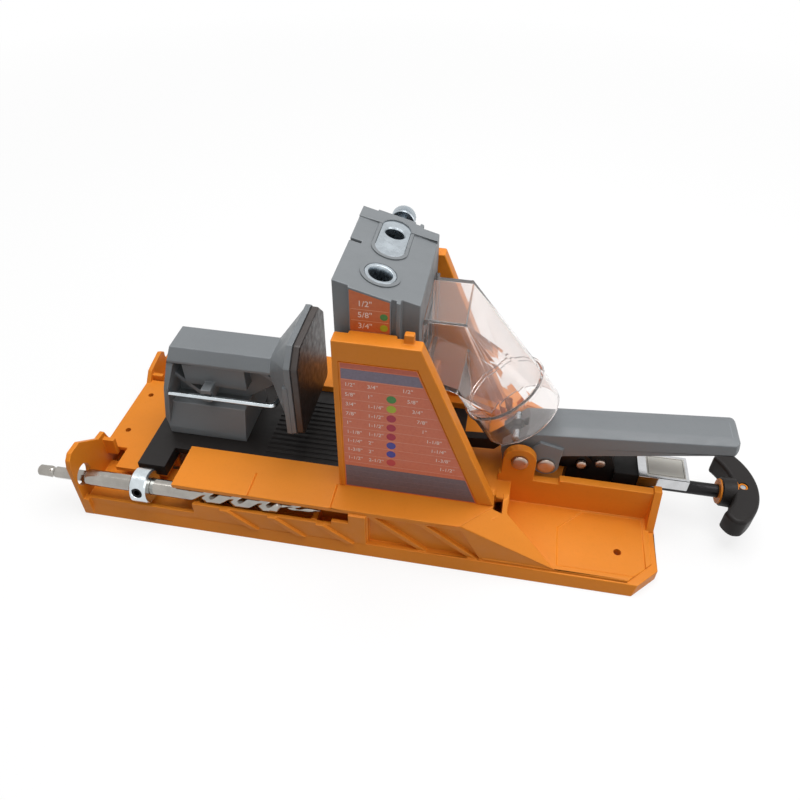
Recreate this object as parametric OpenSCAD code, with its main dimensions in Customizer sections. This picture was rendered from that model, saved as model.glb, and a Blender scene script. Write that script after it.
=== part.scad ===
// Pocket hole jig: bench base, drill guide tower, lever-driven jaw and dust chute.
// Millimetres. +X runs along the base towards the lever, +Y away from the stored drill, +Z up.
// The origin is the centre of the base's underside.

/* [Base] */
// Length of the base moulding
base_l = 338; // [330:1:350]
// Width of the base moulding
base_w = 138; // [136:1:144]
// Thickness of the moulded walls
wall = 3; // [2.6:0.1:3.2]
// Height of the plain band round the foot
band_h = 8; // [7:0.5:8.5]
// Inward draft of the band from foot to top
band_draft = 2.2; // [1.8:0.1:2.4]
// Plan chamfer on the two right corners
corner_cut = 14; // [10:1:16]
// Height of the deck beside the jaw
deck_h = 34.5; // [34:0.5:37]
// Thickness of the deck
deck_t = 3; // [2.6:0.1:3.4]
// Left end of the deck
deck_x0 = -108.5; // [-112:0.5:-106]
// Right end of the deck along the front edge
deck_x1 = 57; // [55:0.5:59]
// Width of the channel that the slide plate runs in
channel_w = 68; // [66:1:70]
// Top of the left floor
floor_h = 22; // [21:0.5:22.5]
// Top of the low deck under the lever
low_deck_h = 9.5; // [9:0.5:10.5]
// Height of the end ears
ear_h = 47.5; // [45:0.5:50]
// Diameter of the right-hand bench screw holes
right_hole_d = 4.4; // [4:0.1:5]
// Distance between the right-hand bench screw holes
right_hole_span = 93; // [90:1:95]
// Diameter of the left-hand bench screw holes
left_hole_d = 3.5; // [3:0.1:4]
// Distance between the left-hand bench screw holes
left_hole_span = 34; // [30:1:40]

/* [Tower] */
// Left face of the tower
tower_x0 = -14; // [-15:0.5:-13]
// Length of the tower's top edge
tower_top_l = 44; // [42:0.5:46]
// Length of the tower's foot
tower_foot_l = 88; // [86:0.5:90]
// Height of the tower's top edge above the bench
tower_h = 138; // [134:0.5:142]
// Width over the two panels
tower_w = 96; // [94:1:98]
// Thickness of each panel
panel_t = 8; // [7:0.5:8.5]
// Width of the chamfer along the panel's top and slope
panel_chamfer = 5; // [3:0.5:6]

/* [Guide block] */
// Length of the block along the jig
block_l = 42; // [41:0.5:43]
// Width of the block
block_w = 75; // [73:0.5:76]
// Height of the block's top edge at the workpiece face above the tower
block_rise = 26.4; // [24:0.2:29]
// Underside of the block
block_z0 = 50; // [48:1:54]
// Drilling angle from the vertical
drill_angle = 15; // [13:0.5:17]
// Bore of both drill guides
guide_bore = 9.6; // [9.55:0.05:9.8]
// Outer diameter of the front bushing
bushing_d = 16.5; // [15:0.5:17]
// Length of the drill guides
guide_l = 34; // [30:1:34]
// Distance between the two guides
guide_span = 39.5; // [39:0.5:41]
// Length of the rear guide's plate
rear_plate_l = 35; // [33:0.5:36]
// Width of the rear guide's plate
rear_plate_w = 15.5; // [14:0.5:16]
// Diameter of the thumb screw's head
thumb_d = 14; // [12:0.5:15]

/* [Dust chute] */
// Wall of the clear chute
chute_wall = 2; // [1.6:0.1:2.2]
// Outer diameter of the hose port
port_d = 48; // [46:0.5:49]
// Length of the hose port
port_l = 22; // [20:0.5:24]
// Fall of the port's axis below the horizontal
port_fall = 55; // [53:0.5:57]
// Width of the duct
duct_w = 41; // [39:0.5:42]

/* [Jaw] */
// Gap between the jaw's pad and the guide block, with the lever down
jaw_gap = 24; // [20:0.5:26]
// Thickness of the rubber pad
pad_t = 4.3; // [3.5:0.1:5]
// Width of the pad
pad_w = 57; // [54:0.5:60]
// Height of the pad
pad_h = 59; // [56:0.5:62]
// Height of the pad's centre
pad_z = 79; // [78:0.5:81]
// Width of the jaw's body
jaw_w = 41; // [39:0.5:42]
// Height of the jaw's top face
jaw_top = 90; // [89:0.5:92]
// Wall of the jaw's body
jaw_wall = 2.6; // [2.2:0.1:3]
// Thickness of the slide plate
plate_t = 4; // [3.5:0.1:4.4]
// Running clearance round the slide plate
slide_gap = 0.3; // [0.2:0.05:0.4]

/* [Lever] */
// Place of the lever's pivot along the jig
pivot_x = 86; // [85:0.5:87]
// Height of the lever's pivot
pivot_z = 43.6; // [43:0.2:45]
// Length of the lever from its pivot
lever_l = 119; // [114:1:122]
// Width of the lever
lever_w = 24; // [23:0.5:25]
// Tilt of the lever when it is down
lever_tilt = 11; // [10:0.5:12]
// Diameter of the pivot pins
pin_d = 6; // [5.6:0.1:6.2]
// Clearance on radius where a link turns on its pin
pin_gap = 0.05; // [0.03:0.01:0.08]

/* [Force screw] */
// Diameter of the force screw's rod
rod_d = 8; // [7:0.2:8.6]
// Height of the rod
rod_z = 21; // [20.5:0.5:22]
// Length of the T-handle's bar
handle_w = 57; // [54:1:60]
// Thickness of the T-handle
handle_t = 14; // [12:0.5:15]
// Length of the chrome bracket
bracket_l = 29; // [27:0.5:31]

/* [Drill] */
// Diameter of the drill
drill_d = 9.53; // [9.4:0.01:9.55]
// Length of the drill with its shank
drill_l = 172; // [168:1:176]
// Outer diameter of the stop collar
collar_d = 20; // [18:0.5:21]
// Width of the stop collar
collar_w = 10; // [8:0.5:12]
// Width across the flats of the hex key
key_af = 3; // [2.5:0.1:3.2]

/* [Hidden] */
$fn = 48;
e = 0.05;
fit = 0.05;
orange = [0.85, 0.5, 0.17];
grey = [0.45, 0.47, 0.49];
black = [0.13, 0.12, 0.12];
zinc = [0.78, 0.8, 0.82];
rivet_steel = [0.6, 0.5, 0.44];
clear = [0.95, 0.9, 0.88, 0.35];

x_l = -base_l / 2;
x_r = base_l / 2;
y_out = base_w / 2;
y_up = y_out - band_draft;

// Bit trough along each side
trough_wall = 2.4;
trough_out = y_up - trough_wall;
trough_in = trough_out - 9.9;
floor_gap = 6.5;
trough_z = 11;
ledge_low = 13.5;
ledge_mid = 21.3;
ledge_high = 24.6;
ledge_x1 = deck_x0 + 10.5;
ledge_x2 = tower_x0 - 1;
pillar_w = 10;
bay_depth = 2.4;
bay_x0 = pillar_w / 2 + 1;
bay_x1 = bay_x0 + 64;

// Profiles of the tall ear beside the stored drill and of the low far ear
near_ear = [[-32, deck_h - 0.5], [-39, deck_h], [-55, ear_h], [-64, ear_h],
            [-67.5, ear_h - 3], [-y_out, ear_h - 8]];
far_ear = [[-34, deck_h - 6], [-38.5, deck_h - 5], [-51, deck_h - 2.7],
           [-61, deck_h - 9.5], [-y_out, deck_h - 14]];

// Slide channel and what runs in it
chan_y = channel_w / 2;
chan_floor = deck_h - 8.5;
plate_z0 = chan_floor + slide_gap;
plate_top = plate_z0 + plate_t;
plate_half = chan_y - slide_gap;
plate_rib_h = 0.8;
cross_x0 = -137;
cross_w = 17;
cross_half = y_out - 19.5;
plate_x1 = 52;
floor_x1 = cross_x0 + cross_w - 1;
keel_x0 = deck_x0 + 14;
keel_x1 = tower_x0 + 30;
keel_half = 6;
keel_travel = 8;
keeper_half = 12;
keeper_t = 3;
keeper_z = chan_floor - wall - slide_gap;

// Deck ends and the shoulder that falls to the low deck
deck_y = y_up - 1.6;
deck_cut = 17;
tower_y = tower_w / 2;
shoulder_run = 55;
shoulder_step = 0.2;
low_x0 = 75;

// Toggle channel
tog_in = 14.7;
tog_t = 5;
tog_out = tog_in + tog_t;
tog_h = 32;
tog_notch_h = 29.3;
tog_x1 = x_r - 4;
gusset_h = tog_h + 2;
gusset_run = 9;
lug_r = 9.5;
notch_x0 = pivot_x + lug_r;
notch_x1 = pivot_x + 24.5;

// Bench screw places
right_hole_x = x_r - 22;
left_hole_x = x_l + 8.5;

// Tower and block
panel_in = tower_y - panel_t;
tower_x1 = tower_x0 + tower_top_l;
tower_x2 = tower_x0 + tower_foot_l;
slope_angle = atan((tower_x2 - tower_x1) / (tower_h - deck_h));
block_x0 = tower_x0 - 1;
block_x1 = block_x0 + block_l;
block_y = block_w / 2;
block_top = tower_h + block_rise;
rail_gap = 0.3;
shelf_t = 3.5;
guide_x = block_x0 + 20;
guide_y = 0.5;
front_y = guide_y - guide_span / 2;
rear_y = guide_y + guide_span / 2;
guide_top = block_top - (guide_x - block_x0) * tan(drill_angle);
lead_d = 12.5;
lead_l = 3;
thumb_z = guide_top - 5;
thumb_shank = 6;

// Chute
flange_x0 = block_x1 + fit;
flange_t = 2.6;
duct_top = tower_h - 2;
duct_bottom = duct_top - 40;
chip_top = duct_top - 14;
duct_x1 = block_x1 + 21;
duct_y = duct_w / 2;
port_r = port_d / 2;
port_x = block_x1 + 56.5;
port_z = deck_h + 29;

// Jaw
pad_face = block_x0 - jaw_gap;
flange_back = pad_face - pad_t - 2.4;
pad_cut = 9.5;
pad_low = 3;
jaw_x0 = cross_x0 + 7.5;
jaw_knee = plate_top + 12;
foot_x0 = jaw_x0 + 2;
foot_l = 48.5;
top_lean = 8;
jaw_half = jaw_w / 2;
beam_x1 = flange_back - 15;
beam_z0 = jaw_top - 9;
beam_half = jaw_half - 6;
beam_flat = 10;
beam_lip = 2;
key_y = -(jaw_half - key_af / 2);
key_z = 61.6;
key_x0 = foot_x0 + 4;
key_l = 67;

// Lever linkage, all in the plane of the jig
lock_rel = [15.5, -6.1];
lock_x = pivot_x + lock_rel[0];
lock_z = pivot_z + lock_rel[1];
yoke_x = lock_x + 20.5;
yoke_z = lock_z;
drive_u = -2;
drive_w = 10;
drive_x = pivot_x + drive_u * cos(lever_tilt) - drive_w * sin(lever_tilt);
drive_z = pivot_z + drive_u * sin(lever_tilt) + drive_w * cos(lever_tilt);
slide_pin_x = plate_x1 - 7;
slide_pin_z = plate_top + 6;
drive_pin_d = 5;
drive_half = 2.8;
open_gap = 0.6;
lever_wall = 2.5;
ear_t = 3;
ear_r = 7.5;
ear_out = lever_w / 2 + 1.5;
rivet_head_d = 10;
rivet_head_t = 2.2;
link_in = 6;
link_t = 2;

// Force screw
bracket_x0 = tog_x1 - 9.5;
bracket_x1 = bracket_x0 + bracket_l;
bracket_w = 20;
bracket_z0 = rod_z + 6.4;
bracket_z1 = rod_z + 14.2;
sheet_t = 1.6;
nut_w = bracket_w - 2 * sheet_t - 2 * fit;
nut_x0 = bracket_x0 - 13.5;
nut_x1 = x_r - 2;
spring_l = 13;
spring_wire = 1.6;
coil_r = rod_d / 2 + 1.7;
rod_x0 = nut_x0 + 2;
handle_x0 = bracket_x1 + 23.5;
handle_l = 19;
hub_d = 15;
hub_x1 = handle_x0 + 7;
rod_x1 = handle_x0 + handle_l - 6;
handle_pin_d = 3;
handle_pin_x = handle_x0 + 10;

// Drill
drill_y = -(trough_out - drill_d / 2 + 1.35);
drill_z = trough_z + 14;
drill_x0 = x_l - 25.5;
hex_l = 30;
hex_af = 6.35;
collar_x0 = cross_x0 + 3.5;

// Box between two corners
module slab(x0, x1, y0, y1, z0, z1) {
    translate([x0, y0, z0])
        cube([x1 - x0, y1 - y0, z1 - z0]);
}

// The near side, which is modelled, and its mirror image on the far side
module both_sides() {
    children();
    mirror([0, 1, 0])
        children();
}

// Outline in the XZ plane, extruded from y0 to y1
module side_extrude(y0, y1) {
    translate([0, y1, 0])
        rotate([90, 0, 0])
            linear_extrude(y1 - y0)
                children();
}

// Outline in the YZ plane, extruded from x0 to x1
module end_extrude(x0, x1) {
    translate([x0, 0, 0])
        rotate([90, 0, 90])
            linear_extrude(x1 - x0)
                children();
}

// Cylinder along Y between y0 and y1
module pin_y(x, z, d, y0, y1) {
    translate([x, y1, z])
        rotate([90, 0, 0])
            cylinder(d = d, h = y1 - y0);
}

// Cylinder along X between x0 and x1
module pin_x(y, z, d, x0, x1) {
    translate([x0, y, z])
        rotate([0, 90, 0])
            cylinder(d = d, h = x1 - x0);
}

// Plan of the base, with its right corners cut off
module base_plan(inset) {
    cut = corner_cut;
    x0 = x_l + inset;
    x1 = x_r - inset;
    y1 = y_out - inset;
    polygon([[x0, -y1], [x1 - cut, -y1], [x1, cut - y1], [x1, y1 - cut], [x1 - cut, y1], [x0, y1]]);
}

// Drafted foot band, hollow inside
module foot_band() {
    intersection() {
        linear_extrude(band_h)
            difference() {
                base_plan(0);
                base_plan(band_draft + wall);
            }
        end_extrude(x_l, x_r)
            polygon([[-y_out, 0], [y_out, 0], [y_up, band_h], [-y_up, band_h]]);
    }
}

// Outer wall, floor and back wall of the bit trough, with the cradles for the bit
module bit_trough() {
    x_end = pillar_w / 2;
    slab(x_l + wall, ledge_x1, -y_up, -trough_out, 0, ledge_low);
    slab(ledge_x1, ledge_x2, -y_up, -trough_out, 0, ledge_mid);
    slab(ledge_x2, x_end, -y_up, -trough_out, 0, ledge_high);
    slab(x_l + wall, x_end, -trough_out, -chan_y, trough_z - wall, trough_z);
    slab(deck_x0, low_x0, -trough_in, wall - trough_in, 0, deck_h - deck_t + e);
    slab(-x_end, x_end, -y_up, -trough_in, 0, deck_h - deck_t + e);
    for (x = [ledge_x1 + 1, ledge_x2 - 12])
        difference() {
            slab(x, x + wall, -trough_out, -trough_in, trough_z - e, drill_z - 1);
            pin_x(drill_y, drill_z, drill_d + 2 * fit, x - 1, x + wall + 1);
        }
}

// Slanted ribs that stiffen the bays in the front wall
module bay_ribs(x0, count, face_y, depth, top_z) {
    run = 1.3 * (top_z - band_h);
    pitch = 28.5;
    w = 5;
    for (i = [0 : count - 1]) {
        x = x0 + i * pitch;
        side_extrude(face_y - depth, face_y + e)
            polygon([[x, top_z], [x + w, top_z], [x + w + run, band_h - e], [x + run, band_h - e]]);
    }
}

// Deck strip with its cut corner and two fine seams
module deck_strip() {
    seam = 0.5;
    difference() {
        translate([0, 0, deck_h - deck_t])
            linear_extrude(deck_t)
                polygon([[deck_x0, -deck_y], [deck_x1, -deck_y], [deck_x1 + deck_cut, deck_cut - deck_y],
                         [deck_x1 + deck_cut, -chan_y], [deck_x0, -chan_y]]);
        for (x = [deck_x0 + 45, tower_x0 - 1.4])
            slab(x, x + seam, -deck_y - 1, -tower_y, deck_h - seam, deck_h + 1);
    }
    slab(deck_x0, low_x0, -chan_y - wall, -chan_y, 0, deck_h - deck_t + e);
}

// Everything below the sloped plane that falls from the deck to the low deck
module below_shoulder(drop) {
    fall = deck_h - low_deck_h;
    dip = atan(fall * sqrt(2) / shoulder_run);
    size = 200;
    translate([deck_x1, -deck_y, deck_h - drop])
        rotate([0, 0, -45])
            rotate([0, dip, 0])
                translate([-size / 2, -size / 2, -size])
                    cube(size);
}

// Shoulder beside the tower's foot, hollow underneath, with the right-hand bay in its front
module shoulder() {
    side_x = deck_x1 + deck_cut + 8;
    bay_top = deck_h - deck_t - 0.5;
    intersection() {
        bay_ribs(bay_x0 - 1, 3, bay_depth - deck_y, bay_depth, bay_top);
        slab(bay_x0 - 1, bay_x1 + 1, -deck_y, 0, 0, bay_top + 1);
        below_shoulder(shoulder_step);
    }
    difference() {
        intersection() {
            linear_extrude(deck_h)
                polygon([[pillar_w / 2, -deck_y], [deck_x1 + shoulder_run, -deck_y],
                         [side_x, -tower_y], [side_x, -chan_y - wall], [side_x - wall, -chan_y - wall],
                         [side_x - wall, -tower_y - 1], [pillar_w / 2, -tower_y - 1]]);
            below_shoulder(shoulder_step);
        }
        intersection() {
            translate([0, 0, -1])
                linear_extrude(deck_h - deck_t)
                    polygon([[pillar_w / 2 - 1, wall + bay_depth - deck_y],
                             [deck_x1 + shoulder_run - 14, wall + bay_depth - deck_y],
                             [side_x - wall, -tower_y - 1.5], [pillar_w / 2 - 1, -tower_y - 1.5]]);
            below_shoulder(wall);
        }
        side_extrude(-deck_y - 1, bay_depth - deck_y)
            polygon([[bay_x0, band_h], [bay_x1, band_h], [bay_x1 - 12, bay_top], [bay_x0, bay_top]]);
    }
}

// End ear with the opening that the drill's shank passes through
module end_ear(profile) {
    hole_d = drill_d + 4;
    post_y = 33;
    difference() {
        end_extrude(x_l, x_l + wall)
            polygon(concat([[-y_out, 0], [-28, 0], [-28, floor_h]], profile));
        pin_x(drill_y, drill_z + (hole_d - drill_d) / 2 - fit, hole_d, x_l - 1, x_l + wall + 1);
    }
    slab(x_l, x_l + 10, -post_y - wall, -post_y, floor_h - wall, profile[0][1] - wall);
    slab(x_l, x_l + 6, -y_out, wall - y_out, 0, ledge_low);
}

// Low deck with its shallow recess, toggle channel, pivot lugs and end gusset
module lever_end() {
    recess = 0.8;
    border = 7;
    recess_x0 = deck_x1 + shoulder_run + 1;
    recess_x1 = tog_x1 - 3;
    recess_y = -tog_out - 0.6;
    recess_cut = 15;
    difference() {
        translate([0, 0, low_deck_h - wall])
            linear_extrude(wall)
                intersection() {
                    base_plan(band_draft + 1.2);
                    translate([low_x0 - wall, -y_out])
                        square([base_l, base_w]);
                }
        both_sides()
            translate([0, 0, low_deck_h - recess])
                linear_extrude(wall)
                    polygon([[recess_x0, border - y_out], [recess_x1, border - y_out], [recess_x1, recess_y],
                             [recess_x0 + recess_cut, recess_y], [recess_x0, recess_y - recess_cut]]);
    }
    both_sides() {
        difference() {
            slab(low_x0, tog_x1, -tog_out, -tog_in, 0, tog_h);
            slab(notch_x0, notch_x1, -tog_out - 1, 1 - tog_in, tog_notch_h, tog_h + 1);
        }
        difference() {
            union() {
                pin_y(pivot_x, pivot_z, 2 * lug_r, -tog_out, -tog_in);
                slab(pivot_x - lug_r, notch_x0, -tog_out, -tog_in, 0, pivot_z);
            }
            pin_y(pivot_x, pivot_z, pin_d, -tog_out - 1, 1 - tog_in);
        }
        end_extrude(tog_x1 - 1, x_r - 0.5)
            polygon([[-tog_in, 0], [-tog_in, gusset_h], [-tog_out, gusset_h],
                     [-tog_out - gusset_run, low_deck_h], [-tog_out - gusset_run, 0]]);
    }
}

// Stiffening ribs under the decks
module under_ribs() {
    rib = 2;
    for (x = [deck_x0 + 24, deck_x0 + 66, -rib / 2, tower_x0 + 50])
        slab(x, x + rib, -trough_in, trough_in, 0, chan_floor - wall + e);
    for (x = [notch_x1, tog_x1 - 22])
        both_sides()
            slab(x, x + rib, -y_out + 10, -tog_in, 2, low_deck_h - wall + e);
}

module base() {
    boss = 4;
    color(orange)
        difference() {
            union() {
                foot_band();
                slab(x_l, x_l + wall, -y_out + 1, y_out - 1, 0, ledge_low);
                slab(x_l, floor_x1, -28, 28, floor_h - wall, floor_h);
                both_sides() {
                    bit_trough();
                    bay_ribs(ledge_x1 + 17, 3, -y_up, 1.6, ledge_mid);
                    deck_strip();
                    shoulder();
                    slab(x_l + wall - e, x_l + 15, -32, -27, floor_h - wall, floor_h);
                    slab(x_l + 15 - e, floor_x1, floor_gap - trough_in, -27, floor_h - wall, floor_h);
                    slab(x_l + 15 - wall, floor_x1, -32, wall - 32, trough_z, floor_h);
                    translate([right_hole_x, -right_hole_span / 2, 0])
                        cylinder(d = right_hole_d + 2 * boss, h = low_deck_h - 1);
                    translate([left_hole_x, -left_hole_span / 2, 0])
                        cylinder(d = left_hole_d + 2 * boss, h = floor_h - 1);
                }
                slab(deck_x0, low_x0 + 8, -chan_y - e, chan_y + e, chan_floor - wall, chan_floor);
                slab(low_x0 + 5, low_x0 + 8, -chan_y - wall, chan_y + wall, 0, chan_floor);
                end_ear(near_ear);
                mirror([0, 1, 0])
                    end_ear(far_ear);
                lever_end();
                under_ribs();
            }
            both_sides() {
                translate([right_hole_x, -right_hole_span / 2, -1])
                    cylinder(d = right_hole_d, h = floor_h);
                translate([left_hole_x, -left_hole_span / 2, -1])
                    cylinder(d = left_hole_d, h = deck_h);
            }
            for (s = [-1, 1], x = screw_x)
                translate([x, s * screw_y, deck_h - deck_t]) {
                    translate([0, 0, -deck_t])
                        cylinder(d = screw_d + 2 * fit, h = 3 * deck_t);
                    translate([0, 0, -screw_head_t - 1])
                        cylinder(d = screw_head_d + 2 * fit, h = screw_head_t + 1 - e);
                }
            slab(keel_x0 - keel_travel, keel_x1 + 1, -keel_half - slide_gap, keel_half + slide_gap,
                 chan_floor - wall - 1, chan_floor + 1);
            slab(keel_x0 - keel_travel, keel_x1 + 1, -keeper_half - 1, keeper_half + 1,
                 keeper_z - keeper_t - 1, chan_floor - wall);
        }
}

// Tower screws come up through the deck into the panels
screw_x = [tower_x0 + 10, tower_x2 - 14];
screw_y = tower_y - panel_t / 2;
screw_d = 4;
screw_l = 16;
screw_head_d = 7;
screw_head_t = 2.6;

module tower_screws() {
    color(zinc)
        for (s = [-1, 1], x = screw_x)
            translate([x, s * screw_y, deck_h - deck_t]) {
                cylinder(d = screw_d, h = screw_l);
                translate([0, 0, -screw_head_t])
                    cylinder(d = screw_head_d, h = screw_head_t);
            }
}

// Bar under the channel floor that keeps the slide plate down
module slide_keeper() {
    color(black)
        slab(keel_x0, keel_x1, -keeper_half, keeper_half, keeper_z - keeper_t, keeper_z);
}

// Side panel of the tower, chamfered along its top and its slope
module tower_panel() {
    label_inset = 9;
    label_depth = 0.6;
    difference() {
        side_extrude(-tower_y, -panel_in)
            polygon([[tower_x0, deck_h], [tower_x2, deck_h], [tower_x1, tower_h], [tower_x0, tower_h]]);
        translate([0, -tower_y, tower_h])
            rotate([45, 0, 0])
                slab(tower_x0 - 1, tower_x2, -panel_chamfer, panel_chamfer, 0, panel_chamfer);
        translate([tower_x1, -tower_y, tower_h])
            rotate([0, -slope_angle, 0])
                rotate([0, 0, -45])
                    slab(0, panel_chamfer, -panel_chamfer, panel_chamfer, -2 * tower_h, 20);
        side_extrude(-tower_y - 1, label_depth - tower_y)
            polygon([[tower_x0 + 3.5, deck_h - 1], [tower_x2 - label_inset, deck_h - 1],
                     [tower_x1 - 1.5, tower_h - 12.5], [tower_x0 + 3.5, tower_h - 12.5]]);
        for (x = screw_x)
            translate([x, -screw_y, deck_h - 1])
                cylinder(d = screw_d + 2 * fit, h = screw_l);
    }
    slab(block_x1 - 6, block_x1 - 1, -panel_in - 4, -panel_in, tower_h - e, tower_h + 5);
    slab(block_x0 + 8, block_x1 - 10, -panel_in, -block_y - rail_gap, deck_h, tower_h);
}

module tower() {
    link_slot = tog_in;
    color(orange) {
        both_sides()
            tower_panel();
        slab(tower_x0 + 2, block_x1, -panel_in - e, panel_in + e, deck_h, deck_h + shelf_t);
        both_sides()
            slab(block_x1, block_x1 + wall, -panel_in - e, -link_slot, deck_h, deck_h + 26);
    }
}

// Frame of the drill guides: +Z along the drill, the origin at the top of a guide
module guide_frame(y) {
    translate([guide_x, y, guide_top])
        rotate([0, drill_angle, 0])
            children();
}

// Obround outline with its long side along Y
module obround(w, l) {
    for (s = [-1, 1])
        translate([0, s * (l - w) / 2])
            circle(d = w);
    square([w, l - w], center = true);
}

rear_mid = guide_y + 14.5;
plate_depth = 12;
sleeve_d = 14;

module guide_block() {
    corner = 9;
    groove = 2.4;
    step_h = 1.2;
    ring_h = 0.7;
    ring_w = 2;
    drop = 120;
    groove_x = block_x1 - corner - groove - 2;
    cap_y = rear_y + 5;
    chamber = duct_y - chute_wall;
    z0 = block_z0 - 1;
    z1 = block_top + 20;
    color(grey)
        difference() {
            union() {
                difference() {
                    slab(block_x0, block_x1, -block_y, block_y, block_z0, block_top + step_h);
                    translate([block_x0, 0, block_top])
                        rotate([0, drill_angle, 0])
                            slab(-30, 80, -block_y - 1, cap_y, 0, 60);
                    translate([block_x0, 0, block_top + step_h])
                        rotate([0, drill_angle, 0])
                            slab(-30, 80, -block_y - 1, block_y + 1, 0, 60);
                }
                guide_frame(front_y)
                    translate([0, 0, -1])
                        cylinder(d = bushing_d + 2 * ring_w, h = 1 + ring_h);
                guide_frame(rear_mid)
                    translate([0, 0, -1])
                        linear_extrude(1 + ring_h)
                            obround(rear_plate_w + 2 * ring_w, rear_plate_l + 2 * ring_w);
            }
            both_sides() {
                slab(block_x1 - corner, block_x1 + 1, -block_y - 1, 4 - block_y, z0, z1);
                slab(groove_x, groove_x + groove, -block_y - 1, 2 - block_y, z0, z1);
                slab(block_x0 - 1, block_x0 + 8, -block_y - 1, 1.5 - block_y, z0, z1);
            }
            slab(block_x0 - 1, block_x0 + 6, guide_y + 1, guide_y + 3.2, block_top - 16, z1);
            // Chip chamber between the guides and the chute
            slab(guide_x - 13, block_x1 + 1, -chamber, chamber, duct_bottom + chute_wall, chip_top);
            guide_frame(front_y) {
                translate([0, 0, -guide_l])
                    cylinder(d = bushing_d + 2 * fit, h = guide_l + 20);
                translate([0, 0, -drop])
                    cylinder(d = guide_bore + 1, h = drop);
            }
            guide_frame(rear_mid)
                translate([0, 0, -plate_depth])
                    linear_extrude(plate_depth + 20)
                        obround(rear_plate_w + 2 * fit, rear_plate_l + 2 * fit);
            guide_frame(rear_y) {
                translate([0, 0, -guide_l])
                    cylinder(d = sleeve_d + 2 * fit, h = guide_l);
                translate([0, 0, -drop])
                    cylinder(d = guide_bore + 1, h = drop);
            }
            pin_y(guide_x, thumb_z, thumb_shank + 2 * pin_gap, rear_mid + rear_plate_l / 2 - 1, block_y + 1);
        }
}

module front_bushing() {
    rim = 0.6;
    color(zinc)
        guide_frame(front_y)
            difference() {
                translate([0, 0, -guide_l])
                    cylinder(d = bushing_d, h = guide_l + rim);
                translate([0, 0, -guide_l - 1])
                    cylinder(d = guide_bore, h = guide_l + 3);
                translate([0, 0, rim - lead_l])
                    cylinder(d1 = guide_bore, d2 = lead_d, h = lead_l + e);
            }
}

module rear_guide() {
    rim = 0.6;
    color(zinc)
        difference() {
            union() {
                guide_frame(rear_mid)
                    translate([0, 0, -plate_depth])
                        linear_extrude(plate_depth + rim)
                            obround(rear_plate_w, rear_plate_l);
                guide_frame(rear_y)
                    translate([0, 0, -guide_l])
                        cylinder(d = sleeve_d, h = guide_l);
            }
            guide_frame(rear_y) {
                translate([0, 0, -guide_l - 1])
                    cylinder(d = guide_bore, h = guide_l + 3);
                translate([0, 0, rim - 1])
                    cylinder(d1 = guide_bore, d2 = guide_bore + 2, h = 1 + e);
            }
        }
}

module thumb_screw() {
    neck_l = 5;
    collar_l = 1.6;
    head_l = 8;
    y0 = rear_mid + rear_plate_l / 2 + 0.4;
    color(zinc) {
        pin_y(guide_x, thumb_z, thumb_shank, y0, block_y + neck_l + e);
        pin_y(guide_x, thumb_z, thumb_d - 4, block_y + 0.3, block_y + 1.5);
        pin_y(guide_x, thumb_z, thumb_d, block_y + neck_l, block_y + neck_l + collar_l);
        pin_y(guide_x, thumb_z, thumb_d - 2, block_y + neck_l, block_y + neck_l + collar_l + 1);
        pin_y(guide_x, thumb_z, thumb_d - 0.5, block_y + neck_l + collar_l + 0.8, block_y + neck_l + head_l);
    }
}

// Frame of the hose port: +Z out along the hose, the origin at the port's mouth
module port_frame() {
    translate([port_x, 0, port_z])
        rotate([0, 90 + port_fall, 0])
            children();
}

// Run of the chute from the block to the port, shrunk by an inset for the inside
module chute_run(inset) {
    lip = inset > 0 ? 1 : 0;
    y = duct_y - inset;
    z0 = duct_bottom + inset;
    z1 = duct_top - inset;
    drop = 6;
    run_sides = 32;
    hull() {
        slab(flange_x0 - lip, flange_x0 + 2, -y, y, z0, z1);
        slab(duct_x1 - 1, duct_x1, -y, y, z0 - drop, z1);
    }
    hull() {
        slab(duct_x1 - 1, duct_x1, -y, y, z0 - drop, z1);
        port_frame()
            translate([0, 0, 0.4 - port_l])
                rotate([0, 0, 180 / run_sides])
                    cylinder(r = port_r - inset - 0.6, h = 1 + 1.7 * lip, $fn = run_sides);
    }
}

module dust_chute() {
    flange = 4;
    ring_w = 1;
    ring_l = 2.5;
    color(clear)
        difference() {
            union() {
                chute_run(0);
                slab(flange_x0, flange_x0 + flange_t, -duct_y - flange, duct_y + flange,
                     duct_bottom - flange, duct_top);
                port_frame()
                    translate([0, 0, -port_l]) {
                        cylinder(r = port_r, h = port_l);
                        cylinder(r = port_r + ring_w, h = ring_l);
                    }
            }
            chute_run(chute_wall);
            port_frame()
                translate([0, 0, -port_l + chute_wall])
                    cylinder(r = port_r - chute_wall, h = port_l + 1);
        }
}

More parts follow.
